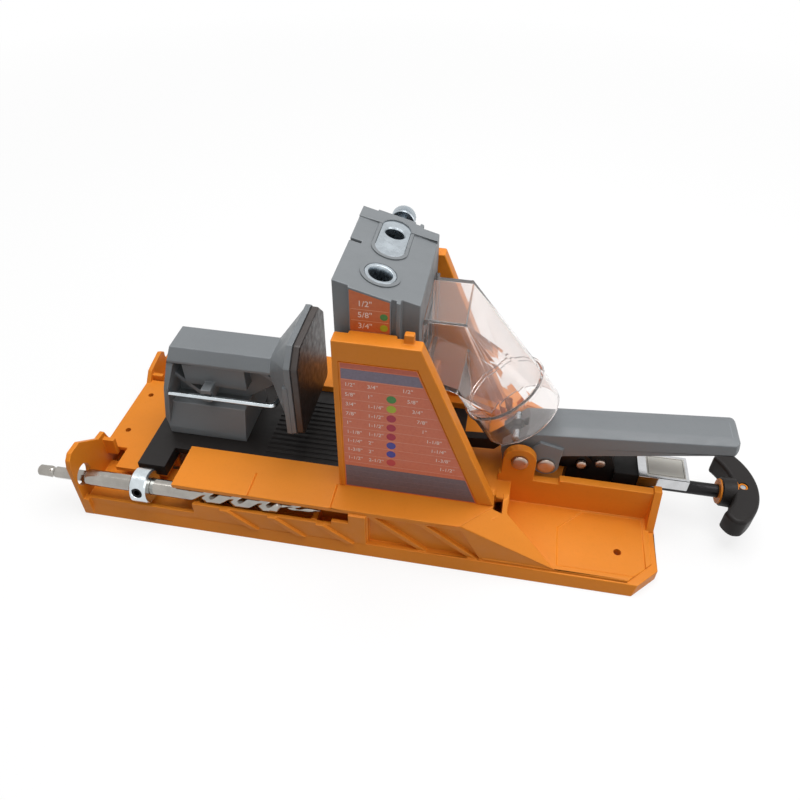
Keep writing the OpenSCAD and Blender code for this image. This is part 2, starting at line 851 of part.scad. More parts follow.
// Black plate that slides in the base and carries the jaw
module slide_plate() {
    rib_pitch = 4;
    rib_w = 2;
    lug_t = 3;
    lug_in = drive_half + 0.4;
    lug_r0 = 6;
    color(black)
        difference() {
            union() {
                slab(cross_x0 + 2, plate_x1, -plate_half, plate_half, plate_z0, plate_top);
                slab(cross_x0, cross_x0 + cross_w, -cross_half, cross_half, floor_h + slide_gap, plate_top);
                for (y = [-plate_half + 8 : rib_pitch : plate_half - 8])
                    slab(foot_x0 + foot_l + 14, block_x0 + 6, y - rib_w / 2, y + rib_w / 2,
                         plate_top - e, plate_top + plate_rib_h);
                slab(keel_x0, keel_x1, -keel_half, keel_half, keeper_z, plate_z0 + e);
                both_sides() {
                    slab(slide_pin_x - lug_r0, slide_pin_x + lug_r0, -lug_in - lug_t, -lug_in,
                         plate_top - e, slide_pin_z);
                    pin_y(slide_pin_x, slide_pin_z, 2 * lug_r0, -lug_in - lug_t, -lug_in);
                }
            }
            pin_y(slide_pin_x, slide_pin_z, drive_pin_d, -20, 20);
            for (s = [-1, 1], x = jaw_screw_x)
                translate([x, s * jaw_screw_y, plate_z0 - 1])
                    cylinder(d = screw_d + 2 * fit, h = plate_t + 2);
        }
}

jaw_screw_x = [foot_x0 + 12, foot_x0 + foot_l - 10];
jaw_screw_y = 12;
foot_t = 4;

module jaw_screws() {
    color(zinc)
        for (s = [-1, 1], x = jaw_screw_x)
            translate([x, s * jaw_screw_y, plate_z0])
                cylinder(d = screw_d, h = plate_t + foot_t);
}

// Octagonal outline of the pad in the YZ plane
module pad_outline(grow) {
    y = pad_w / 2 + grow;
    z = pad_h / 2 + grow;
    c = pad_cut;
    low = pad_low;
    polygon([[-y, low - z], [low - y, -z], [y - low, -z], [y, low - z],
             [y, z - c], [y - c, z], [c - y, z], [-y, z - c]]);
}

// Cross-section of the jaw's beam, shrunk by an inset and then open below
module beam_section(inset) {
    y = beam_half - inset;
    open = inset > 0 ? 1 : 0;
    top = beam_flat - inset / 2;
    polygon([[-y, beam_z0 - open], [-y, beam_z0 + beam_lip], [-top, jaw_top - inset],
             [top, jaw_top - inset], [y, beam_z0 + beam_lip], [y, beam_z0 - open]]);
}

module jaw_body() {
    foot_half = jaw_half + 0.5;
    foot_top = plate_top + foot_t;
    waist = jaw_half - 5;
    waist_z = plate_top + 21.5;
    flange_front = pad_face - pad_t;
    clip_x = key_x0 + 20.5;
    clip_w = 6;
    plate_y = beam_half - 3;
    end_t = jaw_wall + 0.6;
    color(grey)
        difference() {
            union() {
                // Hollow beam along the top
                difference() {
                    end_extrude(jaw_x0, beam_x1 + 1)
                        beam_section(0);
                    end_extrude(jaw_x0 + top_lean + jaw_wall, beam_x1 + 4)
                        beam_section(jaw_wall);
                }
                // Left end wall, which narrows towards the beam
                difference() {
                    end_extrude(jaw_x0, jaw_x0 + top_lean + jaw_wall)
                        polygon([[-jaw_half, plate_top + 2], [jaw_half, plate_top + 2], [jaw_half, key_z + 4],
                                 [beam_half - 0.3, beam_z0 + e], [0.3 - beam_half, beam_z0 + e],
                                 [-jaw_half, key_z + 4]]);
                    translate([jaw_x0 + end_t, 0, jaw_knee])
                        rotate([0, atan(top_lean / (jaw_top - jaw_knee)), 0])
                            slab(0, 40, -50, 50, -13, 38);
                }
                // Lower body that leans in above the foot
                difference() {
                    end_extrude(jaw_x0, foot_x0 + foot_l)
                        polygon([[-foot_half, plate_top], [foot_half, plate_top], [foot_half, foot_top],
                                 [waist, waist_z], [-waist, waist_z], [-foot_half, foot_top]]);
                    end_extrude(foot_x0 + jaw_wall, foot_x0 + foot_l - jaw_wall)
                        polygon([[jaw_wall + 1 - foot_half, foot_top], [foot_half - jaw_wall - 1, foot_top],
                                 [waist - jaw_wall, waist_z - jaw_wall],
                                 [jaw_wall - waist, waist_z - jaw_wall]]);
                }
                // Web between the foot and the beam, its plain plate and the slanted braces beside it
                side_extrude(-3, 3)
                    polygon([[foot_x0 + jaw_wall, waist_z - 1], [foot_x0 + foot_l - 3, waist_z - 1],
                             [beam_x1 + 2, beam_z0 - 14], [beam_x1 + 2, jaw_top - jaw_wall + 0.4],
                             [foot_x0 + jaw_wall, jaw_top - jaw_wall + 0.4]]);
                slab(foot_x0 + 12, foot_x0 + 50, -plate_y, plate_y, beam_z0 - 17, beam_z0 + 3);
                side_extrude(1 - plate_y, plate_y - 1)
                    polygon([[foot_x0 + 4, beam_z0 - 12], [foot_x0 + 24, waist_z - 1], [foot_x0 + 28, waist_z - 1],
                             [foot_x0 + 4, beam_z0 - 8]]);
                side_extrude(1 - plate_y, plate_y - 1)
                    polygon([[beam_x1 - 14, beam_z0 + 1.5], [flange_back - 0.5, key_z],
                             [flange_back - 0.5, key_z + 3], [beam_x1 - 10, beam_z0 + 1.5]]);
                // Hooked clip that the hex key snaps into
                slab(clip_x, clip_x + clip_w, key_y - 0.6, -2, key_z - key_af, key_z + 2 * key_af);
                // Flare from the beam to the flange behind the pad
                difference() {
                    hull() {
                        end_extrude(beam_x1, beam_x1 + 1)
                            beam_section(0);
                        end_extrude(flange_back - 1, flange_back)
                            translate([0, pad_z])
                                pad_outline(-0.5);
                    }
                    hull() {
                        end_extrude(beam_x1 - 1, beam_x1)
                            beam_section(jaw_wall + 0.5);
                        end_extrude(flange_back - 3, flange_back - 2)
                            translate([0, pad_z - 6])
                                pad_outline(-5);
                    }
                }
                end_extrude(flange_back - 1.2, flange_front)
                    translate([0, pad_z])
                        pad_outline(0.6);
                // Skirt around the lower part of the flange
                difference() {
                    end_extrude(flange_back - 3, flange_back)
                        translate([0, pad_z])
                            pad_outline(0.9);
                    end_extrude(flange_back - 4, flange_back + 1)
                        translate([0, pad_z])
                            pad_outline(-2.2);
                    slab(flange_back - 5, flange_back + 5, -50, 50, pad_z + 7, pad_z + 50);
                }
            }
            // Left end leans in above its knee and below it
            translate([jaw_x0, 0, jaw_knee])
                rotate([0, atan(top_lean / (jaw_top - jaw_knee)), 0])
                    slab(-40, 0, -50, 50, -1, 90);
            translate([jaw_x0, 0, jaw_knee])
                rotate([0, -atan((foot_x0 - jaw_x0) / (jaw_knee - plate_top)), 0])
                    slab(-40, 0, -50, 50, -60, 0.5);
            key_hole();
            for (s = [-1, 1], x = jaw_screw_x)
                translate([x, s * jaw_screw_y, plate_top - 1])
                    cylinder(d = screw_d + 2 * fit, h = foot_t + 1);
        }
}

// Room for the hex key in the jaw's clip and end wall, open upwards at the clip
module key_hole() {
    r = key_af / sqrt(3) + fit;
    translate([key_x0 - fit, key_y, key_z])
        rotate([0, 90, 0])
            cylinder(r = r, h = key_l + 2, $fn = 6);
    slab(key_x0 - fit, key_x0 + key_l, key_y - r, key_y + r, key_z, key_z + key_af);
}

module jaw_pad() {
    color(black)
        end_extrude(pad_face - pad_t, pad_face)
            translate([0, pad_z])
                pad_outline(0);
}

module hex_key() {
    leg = 12;
    r = key_af / sqrt(3);
    color(zinc) {
        translate([key_x0, key_y, key_z])
            rotate([0, 90, 0])
                cylinder(r = r, h = key_l, $fn = 6);
        translate([key_x0 + key_l - r, key_y - r / 2, key_z])
            rotate([-90, 0, 0])
                cylinder(r = r, h = leg, $fn = 6);
    }
}

module drill_bit() {
    step_d = 3.8;
    step_l = 22;
    color(zinc)
        difference() {
            union() {
                translate([drill_x0, drill_y, drill_z])
                    rotate([0, 90, 0])
                        cylinder(d = hex_af / cos(30), h = hex_l + e, $fn = 6);
                pin_x(drill_y, drill_z, drill_d, drill_x0 + hex_l, drill_x0 + drill_l - step_l);
                pin_x(drill_y, drill_z, step_d, drill_x0 + drill_l - step_l - e, drill_x0 + drill_l);
            }
            translate([drill_x0 + 9.5, drill_y, drill_z])
                rotate([0, 90, 0])
                    rotate_extrude()
                        translate([hex_af / 2 + 1.2, 0])
                            circle(r = 1.7);
        }
}

module stop_collar() {
    color(zinc)
        difference() {
            pin_x(drill_y, drill_z, collar_d, collar_x0, collar_x0 + collar_w);
            pin_x(drill_y, drill_z, drill_d + 2 * fit, collar_x0 - 1, collar_x0 + collar_w + 1);
            collar_frame()
                cylinder(d = collar_screw_d + 2 * fit, h = collar_d);
        }
}

collar_screw_d = 6;
collar_aim = 125;

// Frame of the collar's set screw: +Z out of the collar
module collar_frame() {
    translate([collar_x0 + collar_w / 2, drill_y, drill_z])
        rotate([collar_aim, 0, 0])
            children();
}

module collar_screw() {
    color(black)
        collar_frame()
            difference() {
                translate([0, 0, drill_d / 2 + 0.1])
                    cylinder(d = collar_screw_d, h = (collar_d - drill_d) / 2 - 0.8);
                translate([0, 0, collar_d / 2 - 3])
                    cylinder(r = key_af / sqrt(3) + fit, h = 5, $fn = 6);
            }
}

// Frame of the lever: +X along the lever, the origin on its pivot
module lever_frame() {
    translate([pivot_x, 0, pivot_z])
        rotate([0, -lever_tilt, 0])
            children();
}

lever_base = -3.4;
crown_r = 40;

// Side outline of the lever
module lever_outline(inset) {
    end_r = 4.3 - inset / 2;
    polygon([[-11, -6 - (inset > 0 ? 2 : 0)], [-11, 4 - inset], [6, 16 - inset], [28, 13.8 - inset],
             [lever_l - 4, 5.2 - inset], [lever_l - 4, lever_base + (inset > 0 ? -2 : 0)],
             [24, lever_base - (inset > 0 ? 2 : 0)], [8, -8 - (inset > 0 ? 2 : 0)]]);
    if (inset == 0)
        translate([lever_l - 4.3, 0.9])
            circle(r = end_r);
}

module lever() {
    half = lever_w / 2;
    link_slot = drive_half + 0.5;
    lock_u = lock_rel[0] * cos(lever_tilt) + lock_rel[1] * sin(lever_tilt);
    lock_w = lock_rel[1] * cos(lever_tilt) - lock_rel[0] * sin(lever_tilt);
    color(grey)
        lever_frame()
            difference() {
                union() {
                    intersection() {
                        side_extrude(-half, half)
                            lever_outline(0);
                        rotate([0, 5.5, 0])
                            translate([-60, 0, 16.7 - crown_r])
                                rotate([0, 90, 0])
                                    cylinder(r = crown_r, h = 250, $fn = 96);
                    }
                    both_sides() {
                        pin_y(lock_u, lock_w, 2 * ear_r, -ear_out, ear_t - ear_out);
                        side_extrude(-ear_out, ear_t - ear_out)
                            polygon([[lock_u - ear_r, lock_w], [lock_u + ear_r, lock_w],
                                     [lock_u + ear_r + 3, 3], [lock_u - 2, 9], [lock_u - ear_r, 4]]);
                    }
                }
                side_extrude(lever_wall - half, half - lever_wall)
                    difference() {
                        lever_outline(lever_wall);
                        translate([lever_l - 11, -20])
                            square([20, 40]);
                    }
                side_extrude(-link_slot, link_slot)
                    polygon([[-20, -20], [-20, 20], [drive_u + 7, 20], [drive_u + 7, -20]]);
                pin_y(0, 0, pin_d + 2 * pin_gap, -30, 30);
                pin_y(lock_u, lock_w, pin_d, -30, 30);
                pin_y(drive_u, drive_w, drive_pin_d, -half - 1, half + 1);
            }
}

// Riveted pin with a low head at each end
module rivet(x, z, d, head_d, half) {
    pin_y(x, z, d, -half - e, half + e);
    both_sides()
        pin_y(x, z, head_d, -half - rivet_head_t, -half);
}

module lever_pin() {
    color(rivet_steel)
        rivet(pivot_x, pivot_z, pin_d, rivet_head_d, tog_out);
}

module lock_pin() {
    color(rivet_steel)
        rivet(lock_x, lock_z, pin_d, rivet_head_d + 0.7, ear_out);
}

module drive_pin() {
    color(zinc)
        pin_y(drive_x, drive_z, drive_pin_d, -lever_w / 2 + 1, lever_w / 2 - 1);
}

module slide_pin() {
    half = 6.2;
    color(zinc)
        pin_y(slide_pin_x, slide_pin_z, drive_pin_d, -half, half);
}

// Pair of link plates from the lever's ears to the yoke
module lock_link() {
    eye_r = 6;
    slot = 0.9;
    color(black)
        both_sides()
            difference() {
                side_extrude(-link_in - link_t, -link_in)
                    difference() {
                        union() {
                            translate([lock_x, lock_z])
                                circle(r = eye_r);
                            translate([yoke_x, yoke_z])
                                circle(r = eye_r);
                            translate([lock_x, lock_z - eye_r + 1])
                                square([yoke_x - lock_x, 2 * eye_r - 2]);
                        }
                        translate([yoke_x - slot, yoke_z])
                            circle(d = yoke_pin_d + 2 * open_gap);
                        translate([yoke_x + slot, yoke_z])
                            circle(d = yoke_pin_d + 2 * open_gap);
                        translate([yoke_x - slot, yoke_z - yoke_pin_d / 2 - open_gap])
                            square([2 * slot, yoke_pin_d + 2 * open_gap]);
                    }
                pin_y(lock_x, lock_z, pin_d + 2 * pin_gap, -20, 20);
            }
}

yoke_pin_d = 4;
yoke_half = 5.5;
yoke_pin2_x = yoke_x + 11;

// Black yoke that stands in the toggle channel and takes the force screw's push
module yoke() {
    color(black)
        difference() {
            side_extrude(-yoke_half, yoke_half)
                polygon([[yoke_x - 7, low_deck_h], [nut_x0 - fit, low_deck_h], [nut_x0 - fit, bracket_z1],
                         [yoke_pin2_x + 6, yoke_z + 5], [yoke_x - 4, yoke_z + 6], [yoke_x - 7, yoke_z + 2]]);
            for (x = [yoke_x, yoke_pin2_x])
                pin_y(x, yoke_z, yoke_pin_d + 2 * fit, -20, 20);
        }
}

module yoke_pins() {
    color(rivet_steel) {
        rivet(yoke_x, yoke_z, yoke_pin_d, yoke_pin_d + 2, link_in + link_t + 0.5);
        rivet(yoke_pin2_x, yoke_z, yoke_pin_d, yoke_pin_d + 2, yoke_half);
    }
}

// Cranked link that passes under the hose port
module drive_link() {
    w = 4;
    half_t = drive_half;
    knee_x = slide_pin_x + 24;
    knee_z = slide_pin_z + 1.5;
    color(black)
        difference() {
            union() {
                pin_y(drive_x, drive_z, 2 * w, -half_t, half_t);
                pin_y(slide_pin_x, slide_pin_z, 2 * w, -half_t, half_t);
                side_extrude(-half_t, half_t)
                    polygon([[slide_pin_x, slide_pin_z - w], [knee_x + 2, knee_z - w],
                             [drive_x + w, drive_z - 1], [drive_x - w, drive_z + 1],
                             [knee_x - 3, knee_z + w], [slide_pin_x, slide_pin_z + w]]);
            }
            pin_y(drive_x, drive_z, drive_pin_d + 2 * pin_gap, -20, 20);
            pin_y(slide_pin_x, slide_pin_z, drive_pin_d + 2 * open_gap, -20, 20);
        }
}

// Folded chrome bracket over the force screw's nut
module adjuster_bracket() {
    half = bracket_w / 2;
    color(zinc)
        difference() {
            slab(bracket_x0, bracket_x1, -half, half, bracket_z0, bracket_z1);
            slab(bracket_x0 - 1, bracket_x1 + 1, sheet_t - half, half - sheet_t,
                 bracket_z0 - 1, bracket_z1 - sheet_t);
        }
}

module adjuster_nut() {
    color(black)
        difference() {
            slab(nut_x0, nut_x1, -nut_w / 2, nut_w / 2, low_deck_h, bracket_z1 - sheet_t - fit);
            pin_x(0, rod_z, rod_d + 2 * pin_gap, nut_x0, nut_x1 + 1);
            pin_x(0, rod_z, 2 * coil_r + spring_wire + 0.8, nut_x0 - 1, nut_x0 + spring_l);
        }
}

module adjuster_spring() {
    turns = 4;
    pitch = (spring_l - spring_wire - 0.4) / (turns - 1);
    color(zinc)
        for (i = [0 : turns - 1])
            translate([nut_x0 + 0.2 + spring_wire / 2 + i * pitch, 0, rod_z])
                rotate([0, 90, 0])
                    rotate_extrude()
                        translate([coil_r, 0])
                            circle(d = spring_wire);
}

module adjuster_rod() {
    color(black)
        pin_x(0, rod_z, rod_d, rod_x0, rod_x1);
}

// Crescent of the T-handle, its inner tips cut off
module handle_shape() {
    half = handle_w / 2;
    bow_r = 38.7;
    inner_r = 32.6;
    tip = 6.5;
    z0 = rod_z - handle_t / 2;
    difference() {
        intersection() {
            translate([handle_x0 + handle_l - bow_r, 0, z0])
                cylinder(r = bow_r, h = handle_t);
            slab(handle_x0 - 8, handle_x0 + handle_l, -half, half, z0, z0 + handle_t);
        }
        translate([handle_x0 + 4.5 - inner_r, 0, z0 - 1])
            cylinder(r = inner_r, h = handle_t + 2);
        both_sides()
            translate([handle_x0, -half, z0 - 1])
                linear_extrude(handle_t + 2)
                    polygon([[-20, -1], [1.4, -1], [-4, tip], [-20, tip]]);
    }
}

module handle_core() {
    color(orange)
        difference() {
            pin_x(0, rod_z, hub_d, handle_x0 - 3, hub_x1);
            pin_x(0, rod_z, rod_d + 2 * fit, handle_x0 - 4, hub_x1 + 1);
        }
}

module handle_grip() {
    color(black)
        difference() {
            handle_shape();
            pin_x(0, rod_z, hub_d + 2 * fit, handle_x0 - 10, hub_x1 + fit);
            pin_x(0, rod_z, rod_d + 2 * fit, handle_x0, rod_x1 + fit);
            translate([handle_pin_x, 0, rod_z])
                cylinder(d = handle_pin_d + 2 * fit, h = handle_t);
        }
}

module handle_pin() {
    color(zinc)
        translate([handle_pin_x, 0, rod_z + rod_d / 2])
            cylinder(d = handle_pin_d, h = handle_t / 2 - rod_d / 2 - 1);
}

base();
slide_keeper();
tower();
tower_screws();
guide_block();
front_bushing();
rear_guide();
thumb_screw();
dust_chute();
slide_plate();
jaw_body();
jaw_screws();
jaw_pad();
hex_key();
drill_bit();
stop_collar();
collar_screw();
lever();
lever_pin();
lock_pin();
lock_link();
yoke();
yoke_pins();
drive_pin();
drive_link();
slide_pin();
adjuster_bracket();
adjuster_nut();
adjuster_spring();
adjuster_rod();
handle_core();
handle_grip();
handle_pin();
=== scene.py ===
"""Looks of a bench pocket hole jig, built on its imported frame.

The mouldings are rounded copies of the solids, the turned and bent metal pieces are made anew,
and the labels, knurls and studio are added. Every piece is in metres, at the origin and unturned.
"""

from collections import namedtuple
import math

import bmesh
import bpy
from bpy.props import FloatProperty, FloatVectorProperty, IntProperty, PointerProperty
from mathutils import Matrix, Vector


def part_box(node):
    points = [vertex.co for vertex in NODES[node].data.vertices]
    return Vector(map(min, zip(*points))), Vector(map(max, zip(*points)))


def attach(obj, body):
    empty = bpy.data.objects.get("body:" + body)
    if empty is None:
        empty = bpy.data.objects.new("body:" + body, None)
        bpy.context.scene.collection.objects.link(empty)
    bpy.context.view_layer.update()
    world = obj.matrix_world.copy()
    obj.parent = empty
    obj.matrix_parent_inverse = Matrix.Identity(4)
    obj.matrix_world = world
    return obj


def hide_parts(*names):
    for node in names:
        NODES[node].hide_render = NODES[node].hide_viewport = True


bl_info = {
    "name": "Pocket hole jig",
    "version": (1, 0, 0),
    "blender": (4, 5, 0),
    "location": "View3D > Sidebar > Jig",
    "description": "Skins, fittings, labels and studio of a bench pocket hole jig",
    "category": "Object",
}

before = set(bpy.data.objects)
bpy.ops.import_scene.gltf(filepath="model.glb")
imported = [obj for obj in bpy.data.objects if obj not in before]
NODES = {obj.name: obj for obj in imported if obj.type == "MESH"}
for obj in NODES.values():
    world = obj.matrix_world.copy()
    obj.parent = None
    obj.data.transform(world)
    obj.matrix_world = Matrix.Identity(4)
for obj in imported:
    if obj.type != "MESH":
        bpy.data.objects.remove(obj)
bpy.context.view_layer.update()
MM = 0.001
Point = namedtuple("Point", "x y z")
Box = namedtuple("Box", "low high middle")


def cad_box(node):
    """Corners and middle of a CAD node, in millimetres to the thousandth."""
    low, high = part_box(node)
    places = (low, high, (low + high) / 2)
    return Box(*(Point(*(round(c / MM, 3) for c in place)) for place in places))


# Colours and sizes that a user would change

def srgb(red, green, blue):
    """A screen colour of 0 to 255 as the linear colour that Blender works in."""
    parts = [c / 255 for c in (red, green, blue)]
    return tuple(c / 12.92 if c <= 0.04045 else ((c + 0.055) / 1.055) ** 2.4 for c in parts)


def tint_property(label, about, red, green, blue):
    """A colour property with a screen colour as its default."""
    return FloatVectorProperty(name=label, description=about, subtype="COLOR", size=3, min=0, max=1,
                               default=srgb(red, green, blue))


class JigColours(bpy.types.PropertyGroup):
    """Colours of the mouldings, metals and labels."""
    orange: tint_property("Orange", "Base, tower and the handle's core", 221, 131, 34)
    grey: tint_property("Grey", "Jaw, guide block and lever", 119, 123, 126)
    black: tint_property("Black", "Slide plate, drive link, yoke and grip", 28, 25, 24)
    rubber: tint_property("Rubber", "Pad on the jaw", 52, 44, 41)
    zinc: tint_property("Zinc", "Bushing, rear guide, thumb screw and pins", 178, 186, 192)
    bright: tint_property("Bright steel", "Hex key and stop collar", 208, 216, 220)
    drill: tint_property("Drill steel", "Drill bit", 164, 160, 154)
    dark_steel: tint_property("Dark steel", "Rod, lock links and set screw", 44, 43, 44)
    rivet: tint_property("Rivet", "Heads of the pivot rivets", 176, 158, 146)
    chrome: tint_property("Chrome", "Bracket over the force screw", 205, 206, 208)
    clear: tint_property("Clear plastic", "Tint of the dust chute", 253, 248, 246)
    table: tint_property("Label table", "Ground of the tower's label", 214, 116, 84)
    band: tint_property("Label band", "Head band of the tower's label", 122, 112, 128)
    foot: tint_property("Label foot", "Foot band of the tower's label", 108, 98, 106)
    scale: tint_property("Scale ground", "Ground of the block's scale", 200, 104, 54)
    ink: tint_property("Label ink", "Figures and lines on the labels", 238, 222, 212)
    sticker: tint_property("Sticker", "Bare sticker on the bracket", 250, 247, 238)


class JigSizes(bpy.types.PropertyGroup):
    """Small sizes that finish the pieces."""
    edge: FloatProperty(name="Edge round", description="Rounding of the moulded edges",
                        default=0.5 * MM, min=0.1 * MM, max=1 * MM, unit="LENGTH")
    grip_edge: FloatProperty(name="Grip round", description="Rounding of the T-handle's grip",
                             default=2.4 * MM, min=1 * MM, max=2.6 * MM, unit="LENGTH")
    flute_pitch: FloatProperty(name="Flute pitch", description="Length of one turn of the drill's flutes",
                               default=34 * MM, min=20 * MM, max=60 * MM, unit="LENGTH")
    knurls: IntProperty(name="Knurls", description="Ridges round the thumb screw", default=44, min=20, max=80)
    figure: FloatProperty(name="Figure height", description="Height of the figures on the tower's label",
                          default=3.4 * MM, min=2 * MM, max=5 * MM, unit="LENGTH")


def colours():
    """The scene's colours."""
    return bpy.context.scene.jig_colours


def sizes():
    """The scene's small sizes."""
    return bpy.context.scene.jig_sizes


# Materials

def maths(tree, operation, first, second):
    """Result of an operation on two values."""
    node = tree.nodes.new("ShaderNodeMath")
    node.operation = operation
    tree.links.new(first, node.inputs[0])
    tree.links.new(second, node.inputs[1])
    return node.outputs[0]


def seen_white(tree):
    """1 for rays that show the ground to the camera, straight, mirrored or through glass."""
    path = tree.nodes.new("ShaderNodeLightPath")
    total = path.outputs["Is Camera Ray"]
    for name in ("Is Glossy Ray", "Is Transmission Ray"):
        total = maths(tree, "MAXIMUM", total, path.outputs[name])
    return total


class Net:
    """Node tree of one material, with short calls to add and join its nodes."""

    def __init__(self, name):
        self.mat = bpy.data.materials.new(name)
        self.mat.use_nodes = True
        self.tree = self.mat.node_tree
        self.tree.nodes.clear()
        out = self.tree.nodes.new("ShaderNodeOutputMaterial")
        self.shader = self.tree.nodes.new("ShaderNodeBsdfPrincipled")
        self.link(self.shader.outputs["BSDF"], out.inputs["Surface"])
        self.place = self.tree.nodes.new("ShaderNodeTexCoord").outputs["Object"]

    def link(self, source, target):
        """Joins an output to an input."""
        self.tree.links.new(source, target)

    def set(self, **values):
        """Sets plain values on the shader; underscores in a name stand for spaces."""
        for name, value in values.items():
            self.shader.inputs[name.replace("_", " ")].default_value = value

    def stretched(self, scale):
        """Object coordinates scaled apart along the three axes."""
        mapping = self.tree.nodes.new("ShaderNodeMapping")
        mapping.inputs["Scale"].default_value = scale
        self.link(self.place, mapping.inputs["Vector"])
        return mapping.outputs["Vector"]

    def noise(self, scale, detail, place=None):
        """Factor of a noise with so many features to the metre."""
        node = self.tree.nodes.new("ShaderNodeTexNoise")
        node.inputs["Scale"].default_value = scale
        node.inputs["Detail"].default_value = detail
        self.link(place or self.place, node.inputs["Vector"])
        return node.outputs[0]

    def attribute(self, name, output="Fac"):
        """An attribute of the mesh."""
        node = self.tree.nodes.new("ShaderNodeAttribute")
        node.attribute_name = name
        return node.outputs[output]

    def remap(self, value, low, high, start=0.3, end=0.7):
        """A value from start to end spread from low to high."""
        node = self.tree.nodes.new("ShaderNodeMapRange")
        for name, number in (("From Min", start), ("From Max", end), ("To Min", low), ("To Max", high)):
            node.inputs[name].default_value = number
        self.link(value, node.inputs["Value"])
        return node.outputs["Result"]

    def times(self, first, second):
        """Product of two values."""
        return maths(self.tree, "MULTIPLY", first, second)

    def mix(self, factor, first, second, blend="MIX"):
        """Mix of two colours, each a socket or a plain colour."""
        node = self.tree.nodes.new("ShaderNodeMix")
        node.data_type = "RGBA"
        node.blend_type = blend
        self.link(factor, node.inputs[0])
        for socket, value in ((node.inputs[6], first), (node.inputs[7], second)):
            if isinstance(value, bpy.types.NodeSocket):
                self.link(value, socket)
            else:
                socket.default_value = (*value, 1)
        return node.outputs[2]

    def bump(self, height, strength, distance):
        """Bump on the shader's normal."""
        node = self.tree.nodes.new("ShaderNodeBump")
        node.inputs["Strength"].default_value = strength
        node.inputs["Distance"].default_value = distance
        self.link(height, node.inputs["Height"])
        self.link(node.outputs["Normal"], self.shader.inputs["Normal"])

    def colour(self, socket):
        """Joins a colour to the shader."""
        self.link(socket, self.shader.inputs["Base Color"])

    def rough(self, socket):
        """Joins a roughness to the shader."""
        self.link(socket, self.shader.inputs["Roughness"])


def shaded(colour, factor):
    """A colour made darker or lighter."""
    return tuple(min(1.0, c * factor) for c in colour)


def moulded(name, colour, low, high, worn, shine):
    """Moulded plastic: spark-eroded grain, faint flow marks and edges rubbed paler."""
    net = Net(name)
    net.set(Specular_IOR_Level=shine)
    flow = net.noise(26, 3, net.stretched((0.5, 1, 1)))
    ground = net.mix(net.remap(flow, 0, 1), shaded(colour, 0.93), shaded(colour, 1.05))
    specks = net.noise(520, 2)
    ground = net.mix(net.remap(specks, 0, 0.22, 0.55, 0.8), ground, shaded(colour, 0.8))
    rubbed = net.times(net.attribute("edge"), net.remap(net.noise(90, 3), 0, worn))
    net.colour(net.mix(rubbed, ground, shaded(colour, 1.45)))
    net.rough(net.remap(net.noise(160, 2), low, high))
    net.bump(net.noise(1500, 2), 0.16, 0.00012)
    return net.mat


def metal(name, colour, low, high, drawn, mark):
    """Bare or plated metal: drawn or turned lines, cloudy plating and fine handling marks."""
    net = Net(name)
    net.set(Metallic=1.0)
    cloud = net.noise(120, 3)
    ground = net.mix(net.remap(cloud, 0, 1), shaded(colour, 0.86), shaded(colour, 1.06))
    stains = net.remap(net.noise(330, 4), 0, mark, 0.55, 0.8)
    net.colour(net.mix(stains, ground, shaded(colour, 0.5)))
    net.rough(net.remap(net.noise(240, 3), low, high))
    net.bump(net.noise(900, 3, net.stretched(drawn)), 0.08, 0.00008)
    return net.mat


def rubber(name, colour):
    """Soft pad: matt, with a fine pebbled skin and pale dust in it."""
    net = Net(name)
    dust = net.remap(net.noise(70, 4), 0, 0.35, 0.45, 0.75)
    net.colour(net.mix(dust, colour, shaded(colour, 1.9)))
    net.rough(net.remap(net.noise(300, 2), 0.3, 0.48))
    cells = net.tree.nodes.new("ShaderNodeTexVoronoi")
    cells.inputs["Scale"].default_value = 900
    net.link(net.place, cells.inputs["Vector"])
    net.bump(cells.outputs["Distance"], 0.25, 0.0002)
    return net.mat


def clear_plastic(name, colour):
    """Clear moulding: faint flow lines and a slightly hazed skin."""
    net = Net(name)
    net.set(Transmission_Weight=0.95, IOR=1.49)
    haze = net.noise(60, 3, net.stretched((1, 0.4, 1)))
    net.colour(net.mix(net.remap(haze, 0, 1), colour, shaded(colour, 0.97)))
    net.rough(net.remap(net.noise(180, 2), 0.01, 0.05))
    net.bump(net.noise(45, 2), 0.05, 0.0006)
    return net.mat


def printed(name):
    """Printed film: the ink's colour from the mesh, with screen grain and a satin skin."""
    net = Net(name)
    ink = net.attribute("tint", "Color")
    grain = net.remap(net.noise(700, 2), 0, 0.3, 0.4, 0.8)
    net.colour(net.mix(grain, ink, (0.2, 0.17, 0.17), "SOFT_LIGHT"))
    net.rough(net.remap(net.noise(150, 2), 0.36, 0.5))
    net.bump(net.noise(420, 2), 0.06, 0.0001)
    return net.mat


# Plastics: colour, lowest and highest roughness, wear of the edges, shine
PLASTICS = {
    "orange_plastic": ("orange", 0.4, 0.54, 0.4, 0.26),
    "grey_plastic": ("grey", 0.38, 0.54, 0.5, 0.36),
    "black_plastic": ("black", 0.4, 0.56, 0.4, 0.2),
}
# Metals: colour, lowest and highest roughness, stretch of the drawn lines, strength of the marks
METALS = {
    "zinc_steel": ("zinc", 0.2, 0.32, (1, 1, 8), 0.12),
    "bright_steel": ("bright", 0.18, 0.28, (1, 8, 8), 0.06),
    "drill_steel": ("drill", 0.14, 0.24, (1, 6, 6), 0.1),
    "black_steel": ("dark_steel", 0.3, 0.46, (1, 6, 6), 0.2),
    "rivet_steel": ("rivet", 0.26, 0.42, (4, 1, 4), 0.35),
    "bracket_chrome": ("chrome", 0.08, 0.2, (6, 1, 1), 0.15),
}
FINISHES = {}


